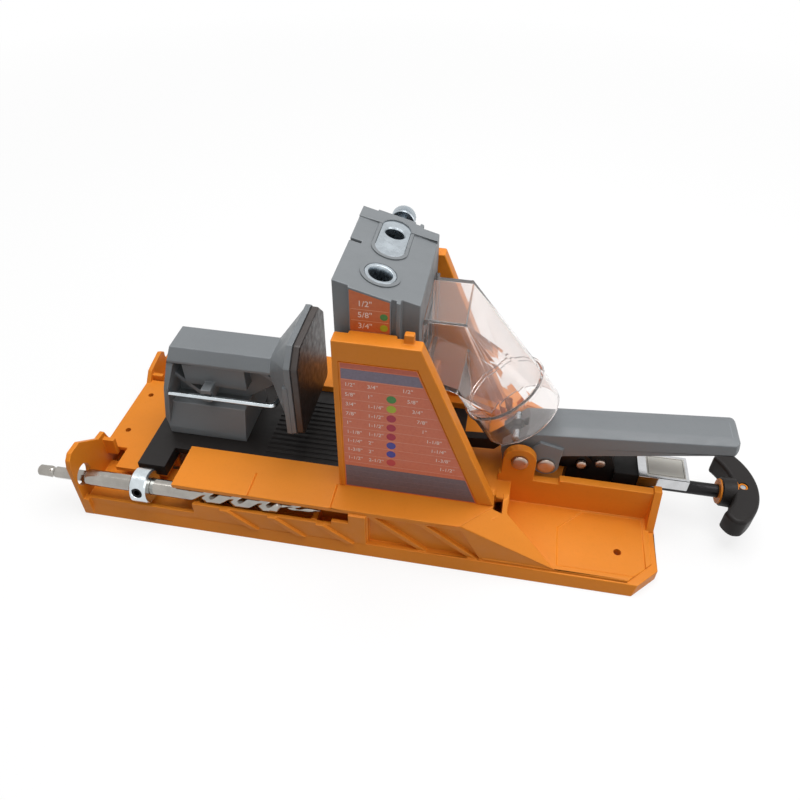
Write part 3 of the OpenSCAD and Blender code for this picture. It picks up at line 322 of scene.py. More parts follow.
def finish(slot):
    """The material of a slot, made when it is first asked for."""
    if slot in FINISHES:
        return FINISHES[slot]
    if slot in PLASTICS:
        tint, low, high, worn, shine = PLASTICS[slot]
        made = moulded(slot, getattr(colours(), tint), low, high, worn, shine)
    elif slot in METALS:
        tint, low, high, drawn, mark = METALS[slot]
        made = metal(slot, getattr(colours(), tint), low, high, drawn, mark)
    elif slot == "pad_rubber":
        made = rubber(slot, colours().rubber)
    elif slot == "clear_plastic":
        made = clear_plastic(slot, colours().clear)
    else:
        made = printed(slot)
    FINISHES[slot] = made
    return made


# Meshes

def linked(name, data):
    """A new object that holds some data, linked to the scene."""
    holder = bpy.data.objects.new(name, data)
    bpy.context.scene.collection.objects.link(holder)
    return holder


def new_piece(name, mesh, body, slot, nodes=(), material=None):
    """Links a finished mesh as a piece that rides on a body and stands for some CAD nodes."""
    mesh.name = name
    mesh.materials.clear()
    mesh.materials.append(finish(material or slot))
    piece = linked(name, mesh)
    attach(piece, body)
    if nodes:
        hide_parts(*nodes)


def settled(mesh, sharp):
    """Smooth shading with sharp edges over an angle and normals weighted by face area."""
    for old in ("custom_normal", "sharp_face", "sharp_edge"):
        if old in mesh.attributes:
            mesh.attributes.remove(mesh.attributes[old])
    shape = bmesh.new()
    shape.from_mesh(mesh)
    bmesh.ops.connect_verts_concave(shape, faces=[f for f in shape.faces if len(f.verts) > 4])
    shape.to_mesh(mesh)
    shape.free()
    mesh.shade_smooth()
    mesh.set_sharp_from_angle(angle=math.radians(sharp))
    holder = linked("holder", mesh)
    weigh = holder.modifiers.new("Weigh", "WEIGHTED_NORMAL")
    weigh.keep_sharp = True
    weigh.weight = 50
    made = evaluated(holder)
    bpy.data.objects.remove(holder)
    return made


def evaluated(holder):
    """Plain mesh of an object with its modifiers."""
    graph = bpy.context.evaluated_depsgraph_get()
    return bpy.data.meshes.new_from_object(holder.evaluated_get(graph), depsgraph=graph)


def combined(mesh, other, operation):
    """A mesh with another joined to it or cut from it."""
    holder = linked("holder", mesh)
    tool = linked("tool", other)
    step = holder.modifiers.new("Combine", "BOOLEAN")
    step.operation = operation
    step.solver = "MANIFOLD"
    step.object = tool
    made = evaluated(holder)
    bpy.data.objects.remove(holder)
    bpy.data.objects.remove(tool)
    return made


def mesh_of(shape, name, sharp=38):
    """Closes a bmesh into a mesh with its faces outward and its shading settled."""
    bmesh.ops.recalc_face_normals(shape, faces=shape.faces)
    mesh = bpy.data.meshes.new(name)
    shape.to_mesh(mesh)
    shape.free()
    return settled(mesh, sharp)


WELD = 0.002 * MM
FLAT = math.radians(0.6)
SHORTEST = 1.4 * MM
SKIN_SHARP = 44


def merged_copy(node):
    """A CAD node's mesh as a bmesh of whole flat faces."""
    shape = bmesh.new()
    shape.from_mesh(NODES[node].data)
    bmesh.ops.remove_doubles(shape, verts=shape.verts, dist=WELD)
    bmesh.ops.dissolve_degenerate(shape, dist=WELD, edges=shape.edges)
    bmesh.ops.dissolve_limit(shape, angle_limit=FLAT, verts=shape.verts, edges=shape.edges,
                             delimit={"NORMAL"})
    bmesh.ops.connect_verts_concave(shape, faces=shape.faces)
    return shape


def sharp_edges(shape, angle, shortest):
    """Edges that fold more than an angle and are long enough to round."""
    return [e for e in shape.edges
            if len(e.link_faces) == 2 and e.calc_face_angle(0) > math.radians(angle)
            and e.calc_length() > shortest]


def round_edges(shape, edges, width):
    """Rounds some edges and marks the new faces for wear."""
    layer = shape.faces.layers.float.get("edge") or shape.faces.layers.float.new("edge")
    made = bmesh.ops.bevel(shape, geom=edges, offset=width, offset_type="OFFSET", segments=2,
                           profile=0.5, affect="EDGES", clamp_overlap=False)
    for face in made["faces"]:
        face[layer] = 1.0


def rounded_skin(node, width, angle):
    """Copy of a CAD node with the edges that fold more than an angle rounded."""
    shape = merged_copy(node)
    round_edges(shape, sharp_edges(shape, angle, SHORTEST), width)
    mesh = bpy.data.meshes.new(node)
    shape.to_mesh(mesh)
    shape.free()
    return settled(mesh, SKIN_SHARP)


def skin_piece(name, node, width, body, slot, angle=32):
    """Adds a rounded copy of a CAD node as the piece that stands for it."""
    new_piece(name, rounded_skin(node, width, angle), body, slot, [node])


def along(origin, direction):
    """Matrix that stands local +Z along a direction at a place, both in millimetres."""
    turn = Vector(direction).normalized().to_track_quat("Z", "Y").to_matrix().to_4x4()
    return Matrix.Translation(Vector(origin) * MM) @ turn


def circle(steps):
    """Angles of so many even steps round a circle."""
    return [2 * math.pi * i / steps for i in range(steps)]


def quarter(steps):
    """Angles of so many even steps round a quarter circle, both ends included."""
    return [math.pi / 2 * i / steps for i in range(steps + 1)]


def lofted(shape, rings):
    """Joins rings of corners by walls and closes both ends."""
    for low, high in zip(rings, rings[1:]):
        for i in range(len(low)):
            j = (i + 1) % len(low)
            shape.faces.new((low[i], low[j], high[j], high[i]))
    shape.faces.new(list(reversed(rings[0])))
    shape.faces.new(rings[-1])


def turned(shape, profile, place, steps):
    """Adds a turned solid: a profile of radius and height in millimetres, round local Z."""
    rings = []
    for radius, height in profile:
        angles = circle(steps) if radius > 0 else [0.0]
        points = [(radius * MM * math.cos(a), radius * MM * math.sin(a), height * MM) for a in angles]
        rings.append([shape.verts.new(place @ Vector(point)) for point in points])
    for low, high in zip(rings, rings[1:]):
        for i in range(steps):
            j = (i + 1) % steps
            corners = [low[i % len(low)], low[j % len(low)], high[j % len(high)], high[i % len(high)]]
            shape.faces.new(list(dict.fromkeys(corners)))
    if len(rings[0]) > 1 and profile[0] == profile[-1]:
        bmesh.ops.remove_doubles(shape, verts=rings[0] + rings[-1], dist=0.001 * MM)


def turned_mesh(name, profile, place, steps, sharp=38):
    """Mesh of one turned solid."""
    shape = bmesh.new()
    turned(shape, profile, place, steps)
    return mesh_of(shape, name, sharp)


def dome(radius, height, base):
    """Profile of a low, flattened head from its rim to its crown, in millimetres."""
    rim = 0.55 * height
    flatness = 0.4
    rise = quarter(10)[1:]
    points = [(radius, base), (radius, base + rim)]
    for a in rise[:-1]:
        points.append((radius * math.cos(a) ** flatness, base + rim + (height - rim) * math.sin(a)))
    return [*points, (0, base + height)]


def rivet(shape, x, z, half, shank, head, height):
    """Adds a rivet across Y with a low head at each end, in millimetres."""
    place = along((x, 0, z), (0, 1, 0))
    crown = dome(head, height, half)
    lower = [(r, -h) for r, h in reversed(crown)]
    turned(shape, [*lower, (shank, -half), (shank, half), *crown], place, 40)


def prism(shape, outline, place, low, high, tint=None):
    """Adds a flat prism: an outline in local XY, from low to high, in millimetres."""
    floor = [shape.verts.new(place @ Vector((x * MM, y * MM, low * MM))) for x, y in outline]
    roof = [shape.verts.new(place @ Vector((x * MM, y * MM, high * MM))) for x, y in outline]
    faces = [shape.faces.new(list(reversed(floor))), shape.faces.new(roof)]
    for i in range(len(outline)):
        j = (i + 1) % len(outline)
        faces.append(shape.faces.new((floor[i], floor[j], roof[j], roof[i])))
    if tint is not None:
        paint(shape, faces, tint)


def paint(shape, faces, tint):
    """Writes a colour on some faces' corners."""
    layer = shape.loops.layers.float_color.get("tint") or shape.loops.layers.float_color.new("tint")
    for face in faces:
        for loop in face.loops:
            loop[layer] = (*tint, 1)


# Labels

def near_face(y):
    """Matrix that stands local XY up on a face towards the near side, at a place in millimetres."""
    return Matrix(((1, 0, 0, 0), (0, 0, -1, y * MM), (0, 1, 0, 0), (0, 0, 0, 1)))


BLOCK = cad_box("guide_block")
BRACKET = cad_box("adjuster_bracket")
PANEL_RECESS = 0.6
NEAR_PANEL = near_face(cad_box("tower").low.y + PANEL_RECESS)
NEAR_BLOCK = near_face(BLOCK.low.y)
GLUE = 0.01
FILM = 0.12
INK = 0.03
FIRST_COLUMN = ("1/2", "5/8", "3/4", "7/8", "1", "1-1/8", "1-1/4", "1-3/8", "1-1/2")
SECOND_COLUMN = ("3/4", "1", "1-1/4", "1-1/2", "1-1/2", "1-1/2", "2", "2", "2-1/2")
GREEN = srgb(62, 130, 58)
YELLOW = srgb(170, 180, 40)
CRIMSON = srgb(172, 34, 62)
BLUE = srgb(62, 62, 150)
CORAL = srgb(196, 60, 62)
HEAD_LINE = srgb(196, 98, 72)
ROW_LINE = srgb(226, 160, 136)
FOOT_LINE = srgb(132, 112, 116)
SCALE_LINE = srgb(226, 168, 130)
STICKER_RIM = srgb(120, 116, 112)
DOT_TINTS = (None, GREEN, YELLOW, CRIMSON, CRIMSON, CRIMSON, BLUE, BLUE, CORAL)
TABLE_LEFT = -10.2
TABLE_LOW = 34.8
TABLE_HIGH = 125.2
TABLE_RIGHT_LOW = 64.2
TABLE_RIGHT_HIGH = 28.0
ROW_TOP = 111.2
ROW_STEP = 6.6
FIRST_X = -8.2
SECOND_X = 3.4
DOT_X = 15.8
LAST_INSET = 12.5
SCALE_LEFT = -6.4
SCALE_RIGHT = 13.0
SCALE_LOW = 102.0
SCALE_TOP = BLOCK.high.z - 2.4
SCALE_ROW_TOP = 153.6
SCALE_STEP = 6.35
SCALE_ROWS = 7
SCALE_FIGURE = 4.4
SCALE_FIGURE_X = -2.6
SCALE_DOT_X = 10.2
GUIDE_ANGLE = math.radians(15)
STICKER_HALF = 8.0
RIM_INSET = 0.7
RIM_WIDE = 0.3


def box_outline(x0, x1, z0, z1):
    """Corners of a rectangle."""
    return [(x0, z0), (x1, z0), (x1, z1), (x0, z1)]


def disc_outline(x, z, radius):
    """Corners of a disc."""
    return [(x + radius * math.cos(a), z + radius * math.sin(a)) for a in circle(28)]


def figures(shape, words, x, z, height, place, level, tint):
    """Adds figures as a raised print, centred on a height and starting at x."""
    curve = bpy.data.curves.new("figures", "FONT")
    curve.body = words
    curve.size = height
    curve.extrude = INK * MM / 2
    curve.resolution_u = 3
    curve.align_y = "CENTER"
    holder = linked("figures", curve)
    mesh = evaluated(holder)
    bpy.data.objects.remove(holder)
    mesh.transform(place @ Matrix.Translation(Vector((x, z, level + INK / 2)) * MM))
    before = len(shape.faces)
    shape.from_mesh(mesh)
    bpy.data.meshes.remove(mesh)
    shape.faces.ensure_lookup_table()
    paint(shape, shape.faces[before:], tint)


def panel_right(z):
    """Right edge of the tower's label at a height."""
    share = (z - TABLE_LOW) / (TABLE_HIGH - TABLE_LOW)
    return TABLE_RIGHT_LOW + share * (TABLE_RIGHT_HIGH - TABLE_RIGHT_LOW)


def across_table(z0, z1, trim):
    """Outline of a strip right across the tower's label between two heights."""
    left = TABLE_LEFT + trim
    return [(left, z0), (panel_right(z0) - trim, z0), (panel_right(z1) - trim, z1), (left, z1)]


def tower_table():
    """Film in the near panel's recess: a nine-row table of figures and dots."""
    c = colours()
    shape = bmesh.new()
    prism(shape, across_table(TABLE_LOW, TABLE_HIGH, 0), NEAR_PANEL, GLUE, FILM, c.table)
    strips = [(122.0, 124.6, HEAD_LINE, FILM), (114.9, 121.4, c.band, FILM), (35.4, 52.2, c.foot, FILM)]
    for row in range(len(FIRST_COLUMN) + 1):
        z = ROW_TOP + ROW_STEP / 2 - row * ROW_STEP
        strips.append((z - 0.12, z + 0.12, ROW_LINE, FILM))
    strips += [(z - 0.1, z + 0.1, FOOT_LINE, FILM + INK) for z in (48.4, 44.2, 40.0)]
    for z0, z1, tint, level in strips:
        prism(shape, across_table(z0, z1, 0.5), NEAR_PANEL, level, level + INK, tint)
    for row, (first, second) in enumerate(zip(FIRST_COLUMN, SECOND_COLUMN)):
        z = ROW_TOP - row * ROW_STEP
        for words, x in ((first, FIRST_X), (second, SECOND_X), (first, panel_right(z) - LAST_INSET)):
            figures(shape, words + '"', x, z, sizes().figure, NEAR_PANEL, FILM, c.ink)
        if DOT_TINTS[row]:
            prism(shape, disc_outline(DOT_X, z, 2.5), NEAR_PANEL, FILM, FILM + INK, DOT_TINTS[row])
    return mesh_of(shape, "tower_table")


def block_scale():
    """Film on the guide block's near face: the scale that is read at the tower's top edge."""
    c = colours()
    shape = bmesh.new()
    tops = [(x, SCALE_TOP - math.tan(GUIDE_ANGLE) * (x - BLOCK.low.x)) for x in (SCALE_RIGHT, SCALE_LEFT)]
    prism(shape, [(SCALE_LEFT, SCALE_LOW), (SCALE_RIGHT, SCALE_LOW), *tops], NEAR_BLOCK, GLUE, FILM, c.scale)
    for row, words in enumerate(FIRST_COLUMN[:SCALE_ROWS]):
        z = SCALE_ROW_TOP - row * SCALE_STEP
        figures(shape, words + '"', SCALE_FIGURE_X, z, SCALE_FIGURE * MM, NEAR_BLOCK, FILM, c.ink)
        line = box_outline(SCALE_LEFT + 0.6, SCALE_RIGHT - 0.6, z - 3.28, z - 3.08)
        prism(shape, line, NEAR_BLOCK, FILM, FILM + INK, SCALE_LINE)
        if DOT_TINTS[row]:
            prism(shape, disc_outline(SCALE_DOT_X, z, 1.9), NEAR_BLOCK, FILM, FILM + INK, DOT_TINTS[row])
    return mesh_of(shape, "block_scale")


def bracket_sticker():
    """Bare sticker on the bracket's top, with a thin darker rim."""
    shape = bmesh.new()
    place = Matrix.Translation((0, 0, BRACKET.high.z * MM))
    left = BRACKET.low.x + 5
    right = BRACKET.high.x - 2
    prism(shape, box_outline(left, right, -STICKER_HALF, STICKER_HALF), place, GLUE, FILM, colours().sticker)
    x0 = left + RIM_INSET
    x1 = right - RIM_INSET
    y1 = STICKER_HALF - RIM_INSET
    inner = y1 - RIM_WIDE
    rims = ((x0, x1, inner, y1), (x0, x1, -y1, -inner), (x0, x0 + RIM_WIDE, -inner, inner),
            (x1 - RIM_WIDE, x1, -inner, inner))
    for rim in rims:
        prism(shape, box_outline(*rim), place, FILM, FILM + INK, STICKER_RIM)
    return mesh_of(shape, "bracket_sticker")


# Turned, bent and fluted metal

DRILL = cad_box("drill_bit")
DRILL_R = DRILL.high.z - DRILL.middle.z
GROOVE_X = DRILL.low.x + 9.5
GROOVE_R = 1.7
HEX_END = DRILL.low.x + 30
HEX_FLATS = 6.35
FLUTE_START = DRILL.low.x + 94.5
STEP_START = DRILL.high.x - 22
CONE_START = DRILL.high.x - 4
PILOT_R = 1.9
NOSE_R = 2.6
FLUTE_RUN_IN = 9.0
FLUTE_DEPTH = 0.52
LAND = 0.15


def drill_radius(x, angle):
    """Radius of the stepped drill at a place along it and round it, in millimetres."""
    if x <= HEX_END:
        turn = (angle + math.pi / 6) % (math.pi / 3) - math.pi / 6
        flat = HEX_FLATS / 2 / math.cos(turn)
        nose = NOSE_R + (x - DRILL.low.x) * 0.9
        if abs(x - GROOVE_X) >= GROOVE_R:
            return min(flat, nose)
        return min(flat, nose, HEX_FLATS / 2 + 1.2 - math.sqrt(GROOVE_R ** 2 - (x - GROOVE_X) ** 2))
    body = DRILL_R if x <= STEP_START else PILOT_R
    if x > CONE_START:
        body = max(0.25, PILOT_R * (DRILL.high.x - x) / (DRILL.high.x - CONE_START))
    if x < HEX_END + 1.2:
        body = min(body, 3.4 + (x - HEX_END) * 1.2)
    if STEP_START - 2.4 < x <= STEP_START:
        body = min(body, PILOT_R + (STEP_START - x) * 1.25)
    if x < FLUTE_START:
        return body
    run_in = min(1.0, (x - FLUTE_START) / FLUTE_RUN_IN)
    twist = angle - 2 * math.pi * (x - FLUTE_START) * MM / sizes().flute_pitch
    flute = max(0.0, (math.cos(2 * twist) + LAND) / (1 + LAND)) ** 0.8
    return body * (1 - FLUTE_DEPTH * run_in * flute)


def fluted_drill():
    """Hex shank with its ball groove, plain shank, flutes and pilot step as one skin."""
    shape = bmesh.new()
    step = 0.5
    stations = [DRILL.low.x + 0.25 * i for i in range(4)]
    stations += [GROOVE_X - 2.2 + 0.2 * i for i in range(23)]
    stations += [HEX_END - 7.5, HEX_END - 0.01, HEX_END + 0.01]
    stations += [HEX_END + 0.4 * i for i in range(1, 4)]
    stations += [HEX_END + 14.5, HEX_END + 29.5, HEX_END + 46.5]
    stations += [FLUTE_START + step * i for i in range(int((STEP_START - FLUTE_START) / step) + 1)]
    stations += [STEP_START + 0.05]
    stations += [STEP_START + step * i for i in range(1, int((DRILL.high.x - STEP_START) / step))]
    stations += [DRILL.high.x]
    _, y, z = DRILL.middle
    rings = []
    for x in stations:
        reach = [(drill_radius(x, a), a) for a in circle(72)]
        points = [Vector((x, y + r * math.sin(a), z + r * math.cos(a))) for r, a in reach]
        rings.append([shape.verts.new(point * MM) for point in points])
    lofted(shape, rings)
    return mesh_of(shape, "drill_bit", 30)


KEY = cad_box("hex_key")
KEY_FLATS = 3.0
KEY_BEND = 3.4
KEY_Y = KEY.low.y + KEY_FLATS / 2


def swept_key():
    """Hex key that lies along the jaw, with its bent leg."""
    shape = bmesh.new()
    r = KEY_FLATS / math.sqrt(3)
    leg_x = KEY.high.x - r
    bend_x = leg_x - KEY_BEND
    path = [(KEY.low.x, KEY_Y, 0.0)]
    path += [(bend_x + KEY_BEND * math.sin(a), KEY_Y + KEY_BEND * (1 - math.cos(a)), a) for a in quarter(10)]
    path.append((leg_x, KEY.high.y, math.pi / 2))
    rings = []
    for x, y, a in path:
        middle = Vector((x, y, KEY.middle.z))
        across = Vector((-math.sin(a), math.cos(a), 0)) * r
        up = Vector((0, 0, r))
        points = [middle + across * math.cos(t) + up * math.sin(t) for t in circle(6)]
        rings.append([shape.verts.new(point * MM) for point in points])
    lofted(shape, rings)
    bmesh.ops.recalc_face_normals(shape, faces=shape.faces)
    round_edges(shape, sharp_edges(shape, 45, 0.3 * MM), 0.22 * MM)
    return mesh_of(shape, "hex_key", 32)


THUMB = cad_box("thumb_screw")
GUIDE_TOP = THUMB.middle.z + 5
GUIDE_LEAN = (math.sin(GUIDE_ANGLE), 0, math.cos(GUIDE_ANGLE))
FRONT_Y = cad_box("front_bushing").middle.y


def closed(profile):
    """A turned profile that comes back to its first point."""
    return [*profile, profile[0]]


def bushing_mesh():
    """Hardened drill bushing with a broken rim and a lead-in."""
    place = along((THUMB.middle.x, FRONT_Y, GUIDE_TOP), GUIDE_LEAN)
    bore, length = 4.8, 34
    rim = [(8.25, 0.25), (7.9, 0.6), (6.5, 0.6), (6.25, 0.5)]
    profile = [(bore, -length), (8.25, -length), *rim, (bore, -2.4)]
    return turned_mesh("front_bushing", closed(profile), place, 64, 30)


COLLAR = cad_box("stop_collar")
SCREW_AIM = math.radians(72)


def screw_frame():
    """Frame of the collar's set screw, turned towards the near side."""
    return along(COLLAR.middle, (0, -math.sin(SCREW_AIM), math.cos(SCREW_AIM)))


def collar_mesh():
    """Stop collar with chamfered rims and the hole for its set screw."""
    end = [(4.83, 0.4), (5.3, 0), (9.2, 0), (10, 0.8)]
    other_end = [(r, COLLAR.high.x - COLLAR.low.x - x) for r, x in reversed(end)]
    place = along((COLLAR.low.x, COLLAR.middle.y, COLLAR.middle.z), (1, 0, 0))
    ring = turned_mesh("stop_collar", closed(end + other_end), place, 72)
    bore = [(0, 4), (3.1, 4), (3.1, 9.4), (3.6, 10.2), (3.6, 12), (0, 12)]
    return settled(combined(ring, turned_mesh("hole", bore, screw_frame(), 36), "DIFFERENCE"), 30)


def collar_screw_mesh():
    """Set screw with a hex socket, seated a little below the collar."""
    shape = bmesh.new()
    turned(shape, [(0, 5), (3, 5), (3, 8.9), (2.7, 9.2), (1.78, 9.2)], screw_frame(), 36)
    bmesh.ops.holes_fill(shape, edges=[e for e in shape.edges if e.is_boundary], sides=0)
    socket = max(shape.faces, key=lambda f: len(f.verts))
    bmesh.ops.inset_individual(shape, faces=[socket], thickness=0.12 * MM, depth=-2.4 * MM)
    return mesh_of(shape, "collar_screw", 30)


KNURL_DROP = 3.0
KNURL_R = 6.3
KNURL_LONG = 4.5
KNURL_WIDE = 0.42


def thumb_screw_mesh():
    """Thumb screw: washer, neck, collar and a head that carries the knurl."""
    place = along((THUMB.middle.x, 0, THUMB.middle.z), (0, 1, 0))
    profile = [(0, 33), (3, 33), (3, 37.8), (5, 37.8), (5, 39), (3, 39), (3, 42.5), (6.6, 42.5), (7, 42.9),
               (7, 43.8), (6.7, 44.1), (5.9, 44.3), (5.9, 44.9), (6.35, 45.1), (6.35, 50), (5.9, 50.5),
               (4.4, 50.5), (3.9, 50.1), (0, 50.1)]
    return turned_mesh("thumb_screw", profile, place, 64, 30)


def knurl_tree(material):
    """Geometry Nodes tree: pointed ridges set round a head."""
    tree = bpy.data.node_groups.new("Knurl ring", "GeometryNodeTree")
    face = tree.interface
    count = face.new_socket("Ridges", in_out="INPUT", socket_type="NodeSocketInt")
    radius = face.new_socket("Head radius", in_out="INPUT", socket_type="NodeSocketFloat")
    length = face.new_socket("Ridge length", in_out="INPUT", socket_type="NodeSocketFloat")
    width = face.new_socket("Ridge width", in_out="INPUT", socket_type="NodeSocketFloat")
    face.new_socket("Geometry", in_out="OUTPUT", socket_type="NodeSocketGeometry")
    node = tree.nodes.new
    link = tree.links.new
    source = node("NodeGroupInput")
    ring = node("GeometryNodeMeshCircle")
    link(source.outputs["Ridges"], ring.inputs["Vertices"])
    link(source.outputs["Head radius"], ring.inputs["Radius"])
    ridge = node("GeometryNodeMeshCylinder")
    ridge.inputs["Vertices"].default_value = 4
    link(source.outputs["Ridge width"], ridge.inputs["Radius"])
    link(source.outputs["Ridge length"], ridge.inputs["Depth"])
    aim = node("FunctionNodeAlignRotationToVector")
    aim.axis = "X"
    link(node("GeometryNodeInputPosition").outputs["Position"], aim.inputs["Vector"])
    spread = node("GeometryNodeInstanceOnPoints")
    link(ring.outputs["Mesh"], spread.inputs["Points"])
    link(ridge.outputs["Mesh"], spread.inputs["Instance"])
    link(aim.outputs["Rotation"], spread.inputs["Rotation"])
    real = node("GeometryNodeRealizeInstances")
    link(spread.outputs["Instances"], real.inputs["Geometry"])
    paint_node = node("GeometryNodeSetMaterial")
    paint_node.inputs["Material"].default_value = material
    link(real.outputs["Geometry"], paint_node.inputs["Geometry"])
    link(paint_node.outputs["Geometry"], node("NodeGroupOutput").inputs["Geometry"])
    return tree, (count.identifier, radius.identifier, length.identifier, width.identifier)


def knurl_mesh():
    """Knurl of the thumb screw's head as a plain mesh."""
    tree, names = knurl_tree(finish("zinc_steel"))
    holder = linked("knurl", bpy.data.meshes.new("knurl"))
    modifier = holder.modifiers.new("Knurl ring", "NODES")
    modifier.node_group = tree
    values = (sizes().knurls, KNURL_R * MM, KNURL_LONG * MM, KNURL_WIDE * MM)
    for name, value in zip(names, values):
        modifier[name] = value
    mesh = evaluated(holder)
    holder.modifiers.remove(modifier)
    bpy.data.objects.remove(holder)
    mesh.transform(along((THUMB.middle.x, THUMB.high.y - KNURL_DROP, THUMB.middle.z), (0, 1, 0)))
    return mesh


ROD = cad_box("adjuster_rod")
GRIP = cad_box("handle_grip")
FORCE_Z = GRIP.middle.z
THREAD_START = 160.4
THREAD_STEP = 1.25
THREAD_TURNS = 10


def rod_mesh():
    """Force screw's rod with rolled thread lines at its inner end and a chamfered tip."""
    full, root = 4, 3.55
    profile = [(0, ROD.low.x), (3.2, ROD.low.x), (full, ROD.low.x + 0.8), (full, THREAD_START - 0.4)]
    for i in range(THREAD_TURNS):
        x = THREAD_START + THREAD_STEP * i
        profile += [(full, x), (root, x + 0.45), (root, x + 0.6), (full, x + 1.05)]
    profile += [(full, ROD.high.x - 0.6), (3.4, ROD.high.x), (0, ROD.high.x)]
    return turned_mesh("adjuster_rod", profile, along((0, 0, FORCE_Z), (1, 0, 0)), 40, 30)


GRIP_X = GRIP.high.x - 19
GRIP_HALF = GRIP.high.y
PIN_X = cad_box("handle_pin").middle.x


def bow(radius, centre, half, steps):
    """Arc of the grip's plan from the near side to the far side, in millimetres."""
    reach = math.asin(half / radius)
    angles = [reach * i / steps for i in range(-steps, steps + 1)]
    return [(centre + radius * math.cos(a), radius * math.sin(a)) for a in angles]


def grip_outline():
    """Plan of the bowed grip in millimetres, with its corners cut twice to soften them."""
    points = bow(38.7, GRIP_X - 19.7, GRIP_HALF, 10)
    points.append((GRIP_X + 0.7, GRIP_HALF))
    points += reversed(bow(32.6, GRIP_X - 28.1, 22.0, 8))
    points.append((GRIP_X + 0.7, -GRIP_HALF))
    for _ in range(2):
        pairs = list(zip(points, points[1:] + points[:1]))
        points = [(x0 + (x1 - x0) * t, y0 + (y1 - y0) * t)
                  for (x0, y0), (x1, y1) in pairs for t in (0.25, 0.75)]
    return [Vector(point) for point in points]


def shrunk(outline, depth):
    """An outline that runs counterclockwise, moved inward by a depth."""
    moved = []
    for i, point in enumerate(outline):
        run = (outline[(i + 1) % len(outline)] - outline[i - 1]).normalized()
        moved.append(point + Vector((-run.y, run.x)) * depth)
    return moved


def grip_mesh():
    """T-handle's bowed grip, rounded for the hand, with a boss and the bores for its hub, rod and pin."""
    outline = grip_outline()
    r = sizes().grip_edge / MM
    levels = [(r * (1 - math.sin(a)), GRIP.low.z + r * (1 - math.cos(a))) for a in quarter(6)]
    levels += [(depth, 2 * FORCE_Z - z) for depth, z in reversed(levels)]
    shape = bmesh.new()
    rings = []
    for depth, z in levels:
        rings.append([shape.verts.new(Vector((q.x, q.y, z)) * MM) for q in shrunk(outline, depth)])
    lofted(shape, rings)
    mesh = mesh_of(shape, "grip", 40)
    hub = along((GRIP_X, 0, FORCE_Z), (1, 0, 0))
    pin = along((PIN_X, 0, FORCE_Z), (0, 0, 1))
    steps = (
        ("UNION", [(0, -2), (8, -2), (8.6, -1.4), (9, 6), (0, 6)], hub),
        ("DIFFERENCE", [(0, -10), (7.7, -10), (7.7, 7.2), (4.2, 7.2), (4.2, 13.2), (0, 13.2)], hub),
        ("DIFFERENCE", [(0, 1), (2.8, 1), (2.8, 9), (0, 9)], pin),
    )
    for operation, profile, place in steps:
        mesh = combined(mesh, turned_mesh("bore", profile, place, 40), operation)
    return settled(mesh, 40)


def pin_bush_mesh():
    """Coloured bush that shows round the pin in the grip's top."""
    profile = [(1.7, 4.4), (2.7, 4.4), (2.7, 6.2), (2.5, 6.4), (1.9, 6.4), (1.7, 6.2)]
    return turned_mesh("pin_bush", closed(profile), along((PIN_X, 0, FORCE_Z), (0, 0, 1)), 32)


LEVER_TILT = math.radians(11)
LEVER_HALF = cad_box("lever").high.y + 0.02
LEVER_BEND = 8.0
LEVER_REACH = 200.0


def lever_mesh():
    """Lever with the corners of its free end rounded in plan."""
    mesh = rounded_skin("lever", sizes().edge, 20)
    turn = Matrix.Rotation(-LEVER_TILT, 4, "Y")
    back = turn.inverted()
    far = max((back @ v.co).x for v in mesh.vertices) / MM + 0.02
    bend_x, bend_y = far - LEVER_BEND, LEVER_BEND - LEVER_HALF
    corner = [(bend_x + LEVER_BEND * math.sin(a), bend_y - LEVER_BEND * math.cos(a)) for a in quarter(12)]
    near = [(far - LEVER_REACH, -LEVER_HALF), *corner]
    shape = bmesh.new()
    prism(shape, near + [(x, -y) for x, y in reversed(near)], turn, -100, 150)
    return settled(combined(mesh, mesh_of(shape, "plan"), "INTERSECT"), SKIN_SHARP)


# Rivets: piece, body, CAD node, places of x, z and half length, shank and head radius, in millimetres
RIVETS = (
    ("lever_rivet", "frame", "lever_pin", ((86, 43.6, 19.7),), 3, 5),
    ("lock_rivet", "lever", "lock_pin", ((101.5, 37.5, 13.5),), 3, 5.35),
    ("yoke_rivets", "frame", "yoke_pins", ((122, 37.5, 8.5), (133, 37.5, 5.5)), 2, 3),
)
HEAD_HEIGHT = 2.2


# Operators

class JigOperator:
    """What the jig's operators share."""
    bl_options = {"REGISTER", "UNDO"}


class JIG_OT_base(JigOperator, bpy.types.Operator):
    """Base and tower mouldings with rounded edges"""
    bl_idname = "jig.base"
    bl_label = "Base and tower"

    def execute(self, context):
        edge = sizes().edge
        skin_piece("base_moulding", "base", edge, "frame", "orange_plastic")
        skin_piece("tower_moulding", "tower", 1.6 * edge, "frame", "orange_plastic")
        return {"FINISHED"}


class JIG_OT_guide(JigOperator, bpy.types.Operator):
    """Guide block with its bushing, rear guide, thumb screw and dust chute"""
    bl_idname = "jig.guide"
    bl_label = "Drill guide"

    def execute(self, context):
        skin_piece("guide_block_moulding", "guide_block", sizes().edge, "guide", "grey_plastic")
        new_piece("front_bushing_turned", bushing_mesh(), "guide", "zinc_steel", ["front_bushing"])
        skin_piece("rear_guide_plate", "rear_guide", 0.35 * MM, "guide", "zinc_steel")
        new_piece("thumb_screw_turned", thumb_screw_mesh(), "thumb_screw", "zinc_steel", ["thumb_screw"])
        new_piece("thumb_screw_knurl", knurl_mesh(), "thumb_screw", "zinc_steel")
        skin_piece("chute_clear", "dust_chute", 0.3 * MM, "guide", "clear_plastic", 40)
        return {"FINISHED"}


